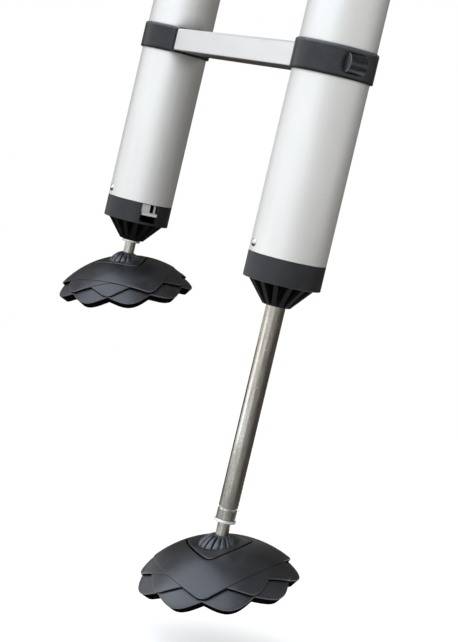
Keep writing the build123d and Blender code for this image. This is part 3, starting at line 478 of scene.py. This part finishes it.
# Stems and their clips: shouldered steel pins that swivel in the bushes and carry the balls.
# Each is drawn bar with long streaks and a spring clip in a groove at its hidden end.
for side in SIDES:
    worn_chrome.wear(side + "_stem")
    spring_wire.wear(side + "_stem_clip")

# Ball heads and their screws: nylon balls slit into spring fingers, which snap into the feet.
# Each finger is rounded across, and the crowns are polished grey where the foot rubs them.
BALL_RADIUS = 20.0 * MM
BALL_TOP_RADIUS = 7.3 * MM
BALL_BORE_RADIUS = 6.1 * MM
BALL_BORE_FOOT = -6.0 * MM
BALL_HUB_RADIUS = 8.0 * MM
BALL_HUB_BLEND = 1.5 * MM
BALL_FINGERS = 16
BALL_SLIT = 1.3 * MM
BALL_SLIT_DEPTH = 3.8 * MM
BALL_FINGER_BULGE = 0.7 * MM
BALL_FOOT_DROP = 13.0 * MM
BALL_ROWS = 40
BALL_CREASE = 50
FINGER_SHARES = (0.3, 0.55, 0.75, 0.9, 1.0)
BALL_BLACK = (0.020, 0.021, 0.024)
BALL_RUBBED = (0.075, 0.078, 0.088)

black_ball = Finish("black_ball", specular=1.0, gloss_tint=NYLON_GLOSS)
polishing = black_ball.grain(4 * MM, detail=4.0)
moulding_grain = black_ball.grain(0.3 * MM, detail=2.0)
rubbed = black_ball.blend(black_ball.between(polishing, 0, 1), BALL_BLACK, BALL_RUBBED)
# Painted shade: the slits between the fingers and other close corners are darker.
black_ball.colour(black_ball.blend(black_ball.corner_shade(2.5 * MM), rubbed, NOZZLE_BLACK))
black_ball.gloss(black_ball.between(polishing, 0.24, 0.36))
black_ball.relief(moulding_grain, 0.02 * MM)


def finger_row(reach, height):
    """One level of the slit ball: fingers rounded across, with a slit between each and the next."""
    slit_open = max(0.0, min(1.0, (reach - BALL_HUB_RADIUS) / BALL_HUB_BLEND))
    pitch = 2 * math.pi / BALL_FINGERS
    half_slit = BALL_SLIT / 2 / max(reach, BALL_HUB_RADIUS)
    half_finger = pitch / 2 - half_slit
    half = [(0.0, 0.0)]
    for share in FINGER_SHARES:
        half.append((half_finger * share, BALL_FINGER_BULGE * share**3))
    half.append((half_finger + 0.1 * half_slit, BALL_SLIT_DEPTH))
    section = [(-angle, sink) for angle, sink in reversed(half[1:])] + half
    row = []
    for finger in range(BALL_FINGERS):
        for angle, sink in section:
            turn = pitch * (finger + 0.5) + angle
            shrink = 1 - sink * slit_open / BALL_RADIUS
            row.append(Vector((reach * math.cos(turn), reach * math.sin(turn), height)) * shrink)
    return row


def ball_centre(side):
    """Centre of the ball, from the level of its flat top."""
    low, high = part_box(side + "_ball_head")
    crest = math.sqrt(BALL_RADIUS**2 - BALL_TOP_RADIUS**2)
    return Vector(((low.x + high.x) / 2, (low.y + high.y) / 2, high.z - crest))


for side in SIDES:
    top_turn = math.asin(BALL_TOP_RADIUS / BALL_RADIUS)
    foot_turn = math.acos(-BALL_FOOT_DROP / BALL_RADIUS)
    crest = BALL_RADIUS * math.cos(top_turn)
    rows = []
    for level in (BALL_BORE_FOOT, crest):
        bore = [Vector((point.x, point.y, 0)).normalized() for point in finger_row(BALL_TOP_RADIUS, crest)]
        rows.append([point * BALL_BORE_RADIUS + Vector((0, 0, level)) for point in bore])
    for i in range(BALL_ROWS + 1):
        turn = top_turn + (foot_turn - top_turn) * i / BALL_ROWS
        rows.append(finger_row(BALL_RADIUS * math.sin(turn), BALL_RADIUS * math.cos(turn)))
    points, faces = skin(rows)
    faces.append(tuple(range(len(points) - len(rows[0]), len(points))))
    faces.append(tuple(reversed(range(len(rows[0])))))
    centre = ball_centre(side)
    placed = [centre + point for point in points]
    ball = new_piece(side + "_slit_ball", placed, faces, black_ball.material, smooth_angle=BALL_CREASE)
    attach(ball, side + "_swivel")
    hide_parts(side + "_ball_head")
    zinc_plate.wear(side + "_ball_screw")

# Ball liners: thin acetal rings between the balls and the feet, which let the feet tilt quietly.
# They are turned from the same grey rod as the guides.
grey_acetal.wear("left_ball_liner", "right_ball_liner")

# Foot cores and their screws: a nylon cup that takes the ball, with a lip under the sole, and three
# screws up into the cover.
black_ball.wear("left_foot_core", "right_foot_core")
for side in SIDES:
    zinc_plate.wear(side + "_foot_screws")

# Soles and tread pads: thick lobed sheets of black rubber, moulded to a dome, which carry the leaves, and
# a round pad under each. The edge is cut square to the dome, so it leans in below. The cut faces, the
# undersides and the pads wear a near-black copy of the rubber without gloss, as painted shade.
DOME_RADIUS = 103.0 * MM
DOME_BELOW_BALL = 89.1 * MM
SOLE_TOP_RADIUS = 99.2 * MM
SOLE_THICKNESS = 10.0 * MM
SOLE_TIP_REACH = 75.1 * MM
SOLE_VALLEY_REACH = 68.9 * MM
SOLE_LOBES = 9
SOLE_WAVE = 0.35
SOLE_HOLE_RADIUS = 37.1 * MM
SOLE_RIM = 12 * MM
SOLE_STEPS = 360
FOOT_LIP = 1.0 * MM
FOOT_LIP_SHARE = 0.75
FOOT_HOLE_ROWS = 3
FOOT_TOP_STEPS = 18
FOOT_LIP_STEPS = 6
FOOT_UNDER_STEPS = 5
FOOT_CUT_ROW = FOOT_HOLE_ROWS + FOOT_TOP_STEPS + FOOT_LIP_STEPS
WORN_FROM_REACH = 58.0 * MM
WORN_FULL_REACH = 67.0 * MM
FOOT_TILT = math.radians(16.5)
FOOT_TURN = {"left": math.radians(4.8), "right": math.radians(-33.5)}
RUBBER_BLACK = (0.011, 0.0115, 0.013)
RUBBER_DUSTY = (0.022, 0.023, 0.026)
RUBBER_GLOSS = (0.93, 0.945, 1.0)
RUBBER_LIP_WEAR_AND_HIGHLIGHT = (0.055, 0.056, 0.061)
RUBBER_SPECK = (0.085, 0.085, 0.088)
RUBBER_CUT_SHADE = (0.0022, 0.0018, 0.0015)
RUBBER_CUT_SHADE_DUSTY = (0.0065, 0.0049, 0.0038)

sole_rubber = Finish("sole_rubber", specular=1.0, gloss_tint=RUBBER_GLOSS)
dust = sole_rubber.grain(8 * MM, detail=5.0)
pores = sole_rubber.grain(0.3 * MM, detail=2.0)
dusty = sole_rubber.blend(sole_rubber.between(dust, 0, 1), RUBBER_BLACK, RUBBER_DUSTY)
# Painted shade: the sole darkens in the corners where the leaves stand on it.
corner_shaded = sole_rubber.blend(sole_rubber.corner_shade(3 * MM), dusty, RUBBER_BLACK)
specks = sole_rubber.between(sole_rubber.grain(0.5 * MM, detail=1.0, shift=4.0), 0.0, 0.6, 0.66, 0.76)
specked = sole_rubber.blend(specks, corner_shaded, RUBBER_SPECK)
# The lips at the corners are lighter, as wear and as a painted highlight.
sole_rubber.colour(sole_rubber.blend(sole_rubber.mark("lip_wear_and_highlight"), specked, RUBBER_LIP_WEAR_AND_HIGHLIGHT))
sole_rubber.gloss(sole_rubber.between(dust, 0.32, 0.42))
sole_rubber.relief(pores, 0.020 * MM)

shaded_cut_rubber = Finish("shaded_cut_rubber", specular=0.0)
dust = shaded_cut_rubber.grain(5 * MM, detail=5.0)
saw_marks = shaded_cut_rubber.grain(0.6 * MM, stretch=(1, 1, 4), detail=3.0)
shaded_cut_rubber.colour(shaded_cut_rubber.blend(shaded_cut_rubber.between(dust, 0, 1), RUBBER_CUT_SHADE, RUBBER_CUT_SHADE_DUSTY))
shaded_cut_rubber.gloss(shaded_cut_rubber.between(saw_marks, 0.6, 0.8))
shaded_cut_rubber.relief(saw_marks, 0.05 * MM)
shaded_cut_rubber.wear("left_foot_pad", "right_foot_pad")


def lobe_reach(angle):
    """How far the scalloped edge of the sole lies from the foot's axis, in a given direction."""
    step = 2 * math.pi / SOLE_LOBES
    from_tip = (angle % step) - step / 2
    valley_along = SOLE_VALLEY_REACH * math.cos(step / 2)
    centre = (SOLE_TIP_REACH**2 - SOLE_VALLEY_REACH**2) / (2 * (SOLE_TIP_REACH - valley_along))
    radius = SOLE_TIP_REACH - centre
    arc = centre * math.cos(from_tip) + math.sqrt(radius**2 - (centre * math.sin(from_tip)) ** 2)
    rise = (1 + math.cos(2 * math.pi * from_tip / step)) / 2
    wave = SOLE_VALLEY_REACH + (SOLE_TIP_REACH - SOLE_VALLEY_REACH) * rise
    return arc + SOLE_WAVE * (wave - arc)


def foot_sheet(name, material, angles, edge_reach, hole_reach, top, underside, seat):
    """A sheet on the dome, between an edge and a hole. The edge has a rounded lip and is cut square to the
    dome, down to the seat in that direction; the seat also tells how far in the edge stays that thick."""
    columns = []
    for angle in angles:
        edge = math.asin(edge_reach(angle) / top)
        hole = math.asin(hole_reach(angle) / top)
        seat_radius, thick_reach = seat(angle)
        thick = math.asin(thick_reach / top)
        lip = min(FOOT_LIP, FOOT_LIP_SHARE * (top - seat_radius))
        lip_start = edge - lip / top
        first = hole + FOOT_LIP / 2 / top
        profile = [
            (hole, underside),
            (hole, top - FOOT_LIP / 2),
            (hole + FOOT_LIP / 8 / top, top - FOOT_LIP / 8),
        ]
        for i in range(FOOT_TOP_STEPS + 1):
            profile.append((first + (lip_start - first) * i / FOOT_TOP_STEPS, top))
        for i in range(1, FOOT_LIP_STEPS + 1):
            turn = math.radians(90 / FOOT_LIP_STEPS * i)
            profile.append((lip_start + lip * math.sin(turn) / top, top - lip * (1 - math.cos(turn))))
        profile.append((edge, seat_radius))
        profile.append((thick, seat_radius))
        inner = thick - FOOT_LIP / top
        for i in range(FOOT_UNDER_STEPS):
            profile.append((inner + (hole - inner) * i / FOOT_UNDER_STEPS, underside))
        columns.append([
            Vector((
                radius * math.sin(lean) * math.cos(angle),
                radius * math.sin(lean) * math.sin(angle),
                radius * math.cos(lean) - DOME_BELOW_BALL,
            ))
            for lean, radius in profile
        ])
    points, faces = skin(list(zip(*columns)), closed_rows=True)
    piece = new_piece(name, points, faces, material)
    # The cut edge and the underside take a skin of painted shade, and the lip is marked for wear and
    # painted highlight
    piece.data.materials.append(shaded_cut_rubber.material)
    count = len(angles)
    cut_rows = range(FOOT_CUT_ROW, len(profile) - 1)
    skins = [int(i // count in cut_rows) for i in range(len(faces))]
    piece.data.polygons.foreach_set("material_index", skins)
    lip_rows = range(FOOT_CUT_ROW - FOOT_LIP_STEPS + 1, FOOT_CUT_ROW)
    worn_span = WORN_FULL_REACH - WORN_FROM_REACH
    corners = [(edge_reach(angle) - WORN_FROM_REACH) / worn_span for angle in angles]
    rubbed = [max(0.0, min(1.0, corner)) for corner in corners]
    wear = [rubbed[i % count] * (i // count in lip_rows) for i in range(len(points))]
    piece.data.attributes.new("lip_wear_and_highlight", "FLOAT", "POINT").data.foreach_set("value", wear)
    return piece


def seat_on_foot(piece, side):
    """Puts a piece drawn about the ball's centre where the tilted, turned foot is, and rides it there."""
    tilt = Matrix.Rotation(FOOT_TILT, 4, "X") @ Matrix.Rotation(FOOT_TURN[side], 4, "Z")
    piece.data.transform(Matrix.Translation(ball_centre(side)) @ tilt)
    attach(piece, side + "_foot")


even_angles = [2 * math.pi * i / SOLE_STEPS for i in range(SOLE_STEPS)]
for side in SIDES:
    underside = SOLE_TOP_RADIUS - SOLE_THICKNESS
    sole = foot_sheet(side + "_lobed_sole", sole_rubber.material, even_angles, lobe_reach,
                      lambda angle: SOLE_HOLE_RADIUS, SOLE_TOP_RADIUS, underside,
                      lambda angle: (underside, lobe_reach(angle) - SOLE_RIM))
    seat_on_foot(sole, side)
    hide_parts(side + "_foot_sole")

# Foot leaves: three three-cornered sheets of black rubber on each sole, every one turned a step from
# the last. Each lies on the lower ones, and its corners reach down past them to the sole like petals.
LEAF_STEP = 0.65 * MM
LEAF_GAP = 0.1 * MM
LEAF_RIM = 3.0 * MM
LEAF_CORNER_REACH = 72.6 * MM
LEAF_SIDE_REACH = 55.5 * MM
LEAF_CORNER_ROUND = 14.0 * MM
LEAF_TURNS = {"upper": 0.0, "middle": math.radians(40), "lower": math.radians(-40)}
LEAF_STEPS = 720
COVER_CORNER_REACH = 35.2 * MM
COVER_SIDE_REACH = 24.0 * MM
COVER_CORNER_ROUND = 6.5 * MM
COVER_GAP = 1.8 * MM
LEAF_BLACK = (0.010, 0.0105, 0.012)
LEAF_GREYED = (0.020, 0.021, 0.024)
LEAF_SCUFF = (0.075, 0.078, 0.086)
LEAF_CORNER_SHADE = (0.004, 0.004, 0.004)

leaf_rubber = Finish("leaf_rubber", specular=1.0, gloss_tint=RUBBER_GLOSS)
bloom = leaf_rubber.grain(16 * MM, detail=5.0)
pores = leaf_rubber.grain(0.3 * MM, detail=2.0)
scuffs = leaf_rubber.grain(1.4 * MM, stretch=(5, 1, 1), detail=3.0, shift=2.0)
grey = leaf_rubber.blend(leaf_rubber.between(bloom, 0, 1), LEAF_BLACK, LEAF_GREYED)
scuffed = leaf_rubber.blend(leaf_rubber.between(scuffs, 0, 0.5, 0.70, 0.78), grey, LEAF_SCUFF)
# Painted shade: the leaves darken in the corners under the edges of the leaves above.
corner_shaded = leaf_rubber.blend(leaf_rubber.corner_shade(1.2 * MM), scuffed, LEAF_CORNER_SHADE)
specks = leaf_rubber.between(leaf_rubber.grain(0.5 * MM, detail=1.0, shift=4.0), 0.0, 0.6, 0.66, 0.76)
specked = leaf_rubber.blend(specks, corner_shaded, RUBBER_SPECK)
# The lips at the corners are lighter, as wear and as a painted highlight.
leaf_rubber.colour(leaf_rubber.blend(leaf_rubber.mark("lip_wear_and_highlight"), specked, RUBBER_LIP_WEAR_AND_HIGHLIGHT))
leaf_rubber.gloss(leaf_rubber.between(bloom, 0.30, 0.38))
leaf_rubber.relief(pores, 0.020 * MM)


def leaf_reach(angle, corner, side_reach, rounding):
    """How far a three-cornered outline with bowed sides lies from the axis, in a given direction."""
    third = 2 * math.pi / 3
    from_corner = abs((angle + third / 2) % third - third / 2)
    bow_centre = (corner**2 - side_reach**2) / (corner - 2 * side_reach)
    bow_radius = side_reach - bow_centre
    across = bow_centre * math.sin(third / 2)
    round_centre = bow_centre / 2 + math.sqrt((bow_radius - rounding) ** 2 - across**2)
    grow = bow_radius / (bow_radius - rounding)
    meet_along = bow_centre / 2 + grow * (round_centre - bow_centre / 2)
    meet_across = across - grow * across
    if from_corner < math.atan2(meet_across, meet_along):
        off = round_centre * math.sin(from_corner)
        return round_centre * math.cos(from_corner) + math.sqrt(rounding**2 - off**2)
    from_side = third / 2 - from_corner
    off = bow_centre * math.sin(from_side)
    return bow_centre * math.cos(from_side) + math.sqrt(bow_radius**2 - off**2)


def leaf_edge(angle, turn):
    """The outer edge of a leaf that is turned on the foot."""
    return leaf_reach(angle - turn, LEAF_CORNER_REACH, LEAF_SIDE_REACH, LEAF_CORNER_ROUND)


def window_reach(angle):
    """The opening in every leaf, a narrow slit wider than the cover."""
    return leaf_reach(angle, COVER_CORNER_REACH + COVER_GAP, COVER_SIDE_REACH + COVER_GAP,
                      COVER_CORNER_ROUND + COVER_GAP)


def leaf_seat(angle, number):
    """What the edge of a leaf comes down to, and how far in it stays thick before a lower leaf is in
    the way."""
    turns = list(LEAF_TURNS.values())
    edge = leaf_edge(angle, turns[number])
    lower = {i: leaf_edge(angle, turns[i]) for i in range(number + 1, len(turns))}
    under = [i for i, reach in lower.items() if reach > edge - LEAF_RIM / 10]
    seat_radius = DOME_RADIUS - under[0] * LEAF_STEP if under else SOLE_TOP_RADIUS
    beside = [reach for i, reach in lower.items() if not under or i < under[0]]
    thick_reach = max([edge - LEAF_RIM] + [reach + LEAF_GAP for reach in beside])
    return seat_radius + LEAF_GAP, min(thick_reach, edge - LEAF_RIM / 10)


fine_angles = [2 * math.pi * i / LEAF_STEPS for i in range(LEAF_STEPS)]
for side in SIDES:
    for number, (name, turn) in enumerate(LEAF_TURNS.items()):
        top = DOME_RADIUS - number * LEAF_STEP
        lowest = number == len(LEAF_TURNS) - 1
        underside = SOLE_TOP_RADIUS + LEAF_GAP if lowest else top - LEAF_STEP + LEAF_GAP
        leaf = foot_sheet(f"{side}_leaf_{name}", leaf_rubber.material, fine_angles,
                          lambda angle: leaf_edge(angle, turn), window_reach, top, underside,
                          lambda angle: leaf_seat(angle, number))
        seat_on_foot(leaf, side)
        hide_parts(f"{side}_foot_leaf_{name}")

# Foot covers: three-cornered rubber covers let into the leaves, which close the socket round the ball.
# A narrow slit is left between the cover and the leaves, and the cover dips a little round the ball.
COVER_HOLE_RADIUS = 16.8 * MM
COVER_DIP = 1.5 * MM
COVER_DIP_REACH = 23.0 * MM


def cover_reach(angle):
    """The outer edge of the cover."""
    return leaf_reach(angle, COVER_CORNER_REACH, COVER_SIDE_REACH, COVER_CORNER_ROUND)


for side in SIDES:
    cover = foot_sheet(side + "_ball_cover", leaf_rubber.material, fine_angles, cover_reach,
                       lambda angle: COVER_HOLE_RADIUS, DOME_RADIUS, SOLE_TOP_RADIUS,
                       lambda angle: (SOLE_TOP_RADIUS, cover_reach(angle) - LEAF_RIM))
    for vertex in cover.data.vertices:
        nearness = (COVER_DIP_REACH - vertex.co.xy.length) / (COVER_DIP_REACH - COVER_HOLE_RADIUS)
        on_top = (vertex.co + Vector((0, 0, DOME_BELOW_BALL))).length > DOME_RADIUS - FOOT_LIP
        if nearness > 0 and on_top:
            vertex.co.z -= COVER_DIP * nearness**2
    seat_on_foot(cover, side)
    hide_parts(side + "_foot_cover")

# Floor: a plain pale sheet below the feet. The camera and the metal see it as the white of the background,
# and it keeps a soft shadow of the object.
FLOOR_LEVEL = -0.56
FLOOR_RADIUS = 1.6
FLOOR_PALE = (0.80, 0.80, 0.80)
FLOOR_SPECKLE = (0.78, 0.78, 0.78)
FLOOR_GLOW = 0.54

pale_floor = Finish("pale_floor", specular=0.2)
speckle = pale_floor.grain(6 * MM)
pale_floor.colour(pale_floor.blend(pale_floor.between(speckle, 0, 1), FLOOR_PALE, FLOOR_SPECKLE))
pale_floor.gloss(pale_floor.between(speckle, 0.7, 0.8))
rays = pale_floor.add("ShaderNodeLightPath").outputs
seen = pale_floor.sum("MAXIMUM", rays["Is Camera Ray"], rays["Is Glossy Ray"])
seen = pale_floor.sum("MAXIMUM", seen, rays["Is Transmission Ray"])
glow = pale_floor.sum("MULTIPLY", seen, FLOOR_GLOW)
pale_floor.shader.inputs["Emission Color"].default_value = (1, 1, 1, 1)
pale_floor.tree.links.new(glow, pale_floor.shader.inputs["Emission Strength"])
ring = [Vector((FLOOR_RADIUS * math.cos(a), FLOOR_RADIUS * math.sin(a), FLOOR_LEVEL)) for a in even_angles]
floor = new_piece("floor", ring, [tuple(range(len(ring)))], pale_floor.material)

# Dark cards: matt brown sheets that only the gloss sees. Low sloping ones and a tall one bend round the
# right of the view and behind the object, one stands by the far stile, one lies before the near leg, and
# a dim ceiling closes the room above.
CARDS = {
    "low_card": {
        "middle": (0, 0), "turns": (-24, 112), "rows": [(0.50, -0.558), (1.10, -0.25)],
        "pale": [(0, 1.0), (0.45, 0.0), (1, 0.0)],
    },
    "back_card": {
        "middle": (0, 0), "turns": (112, 228), "rows": [(0.28, -0.557), (1.20, -0.44)],
        "pale": [(0, 0.0), (0.88, 0.0), (1, 1.0)],
    },
    "tall_card": {
        "middle": (0, 0), "turns": (56, 178), "rows": [(1.25, -0.558), (1.25, 1.60)],
        "pale": [(0, 1.0), (0.38, 0.0), (1, 0.0)],
    },
    "side_card": {
        "middle": (0, 0), "turns": (178, 204), "rows": [(1.25, -0.30), (1.25, 0.70)],
        "pale": [(0, 0.0), (0.2, 0.0), (1, 1.0)],
    },
    "far_card": {
        "middle": (-0.20, 0), "turns": (15, 140), "rows": [(0.27, -0.45), (0.27, 0.30)],
        "pale": [(0, 1.0), (0.40, 0.0), (1, 0.0)],
    },
    "leg_card": {
        "middle": (0.20, 0), "turns": (200, 330), "rows": [(0.45, -0.557), (0.90, -0.557)],
        "pale": [(0, 0.1), (0.1, 0.2), (0.35, 1.0), (1, 1.0)],
    },
    "ceiling": {
        "middle": (0, 0), "turns": (0, 360),
        "rows": [(2.78, 0.62), (2.46, 1.22), (1.93, 1.80), (1.03, 2.32), (0.0, 2.50)],
        "pale": [(0, 0.9), (0.2, 0.7), (0.4, 0.25), (0.75, 0.25), (1, 0.9)],
    },
}
CARD_STEPS = 48
CARD_BROWN = (0.150, 0.128, 0.105)
CARD_MOTTLED = (0.120, 0.102, 0.084)
CARD_LIGHT = (0.62, 0.60, 0.57)

brown_card = Finish("brown_card", specular=0.0)
mottle = brown_card.grain(40 * MM)
brown = brown_card.blend(brown_card.between(mottle, 0, 1), CARD_BROWN, CARD_MOTTLED)
brown_card.colour(brown_card.blend(brown_card.mark("paleness"), brown, CARD_LIGHT))
brown_card.gloss(brown_card.between(mottle, 0.9, 1.0))


def along_stops(stops, share):
    """A number that runs straight from each stop to the next."""
    for (start, first), (end, last) in zip(stops, stops[1:]):
        if share <= end:
            return first + (last - first) * (share - start) / (end - start)
    return stops[-1][1]


for name, card in CARDS.items():
    columns, paleness = [], []
    first, last = card["turns"]
    for i in range(CARD_STEPS + 1):
        turn = math.radians(first + (last - first) * i / CARD_STEPS)
        outward = Vector((math.cos(turn), math.sin(turn), 0))
        middle = Vector((*card["middle"], 0))
        columns.append([middle + outward * reach + Vector((0, 0, level)) for reach, level in card["rows"]])
        paleness += [along_stops(card["pale"], i / CARD_STEPS)] * len(card["rows"])
    points = [point for column in columns for point in column]
    count = len(card["rows"])
    faces = []
    for i in range(CARD_STEPS):
        for j in range(count - 1):
            here = i * count + j
            faces.append((here, here + count, here + count + 1, here + 1))
    sheet = new_piece(name, points, faces, brown_card.material)
    sheet.data.attributes.new("paleness", "FLOAT", "POINT").data.foreach_set("value", paleness)
    sheet.visible_camera = False
    sheet.visible_diffuse = False
    sheet.visible_shadow = False

# Light: one broad soft lamp high in front on the left, cool like a window, and a dim low strip that draws
# a bright line down the leg. The room is white to the eye and to the metal, and gives an even grey light.
LAMPS = {
    "window": {
        "place": (0.32, -1.38, 1.22), "faces": (0.22, -0.03, -0.49), "size": (3.8, 2.2),
        "power": 50.0, "colour": (0.80, 0.89, 1.0),
    },
    "leg_strip": {
        "place": (0.122, -0.290, -0.352), "faces": (0.20, 0.0, -0.352), "size": (0.16, 0.15),
        "power": 0.080, "colour": (1.0, 1.0, 1.0),
    },
}
ROOM_GREY = 0.42

for name, lamp in LAMPS.items():
    light = bpy.data.lights.new(name, "AREA")
    light.energy = lamp["power"]
    light.color = lamp["colour"]
    light.shape = "RECTANGLE"
    light.size, light.size_y = lamp["size"]
    holder = bpy.data.objects.new(name, light)
    holder.location = lamp["place"]
    holder.rotation_mode = "QUATERNION"
    aim = Vector(lamp["faces"]) - Vector(lamp["place"])
    holder.rotation_quaternion = aim.to_track_quat("-Z", "Y")
    holder.visible_camera = False
    bpy.context.scene.collection.objects.link(holder)

room = bpy.data.worlds.new("studio")
room.use_nodes = True
bpy.context.scene.world = room
tree = room.node_tree
sky = tree.nodes["Background"]
sky.inputs["Color"].default_value = (1, 1, 1, 1)
rays = tree.nodes.new("ShaderNodeLightPath").outputs
seen = rays["Is Camera Ray"]
for kind in ("Is Glossy Ray", "Is Transmission Ray"):
    either = tree.nodes.new("ShaderNodeMath")
    either.operation = "MAXIMUM"
    tree.links.new(seen, either.inputs[0])
    tree.links.new(rays[kind], either.inputs[1])
    seen = either.outputs["Value"]
level = tree.nodes.new("ShaderNodeMapRange")
level.inputs["To Min"].default_value = ROOM_GREY
level.inputs["To Max"].default_value = 1.0
tree.links.new(seen, level.inputs["Value"])
tree.links.new(level.outputs["Result"], sky.inputs["Strength"])

# Camera: a long lens near the level of the rung, turned on its axis because the ladder leans in the view.
# Its shift is that of a photograph cut down to the object.
CAMERA_PLACE = Vector((1.59771, -0.67670, -0.08812))
CAMERA_AZIMUTH = math.radians(66.31)
CAMERA_ELEVATION = math.radians(3.288)
CAMERA_ROLL = math.radians(13.27)
CAMERA_LENS = 96.6
CAMERA_SENSOR = 36.0
CAMERA_SHIFT = -0.1486

camera = bpy.data.cameras.new("camera")
camera.lens = CAMERA_LENS
camera.sensor_width = CAMERA_SENSOR
camera.shift_y = CAMERA_SHIFT
viewer = bpy.data.objects.new("camera", camera)
bpy.context.scene.collection.objects.link(viewer)
backward = Vector((
    math.sin(CAMERA_AZIMUTH) * math.cos(CAMERA_ELEVATION),
    -math.cos(CAMERA_AZIMUTH) * math.cos(CAMERA_ELEVATION),
    math.sin(CAMERA_ELEVATION),
))
turn = (-backward).to_track_quat("-Z", "Y").to_matrix().to_4x4() @ Matrix.Rotation(CAMERA_ROLL, 4, "Z")
viewer.matrix_world = Matrix.Translation(CAMERA_PLACE) @ turn
bpy.context.scene.camera = viewer
bpy.context.scene.view_settings.view_transform = "Standard"
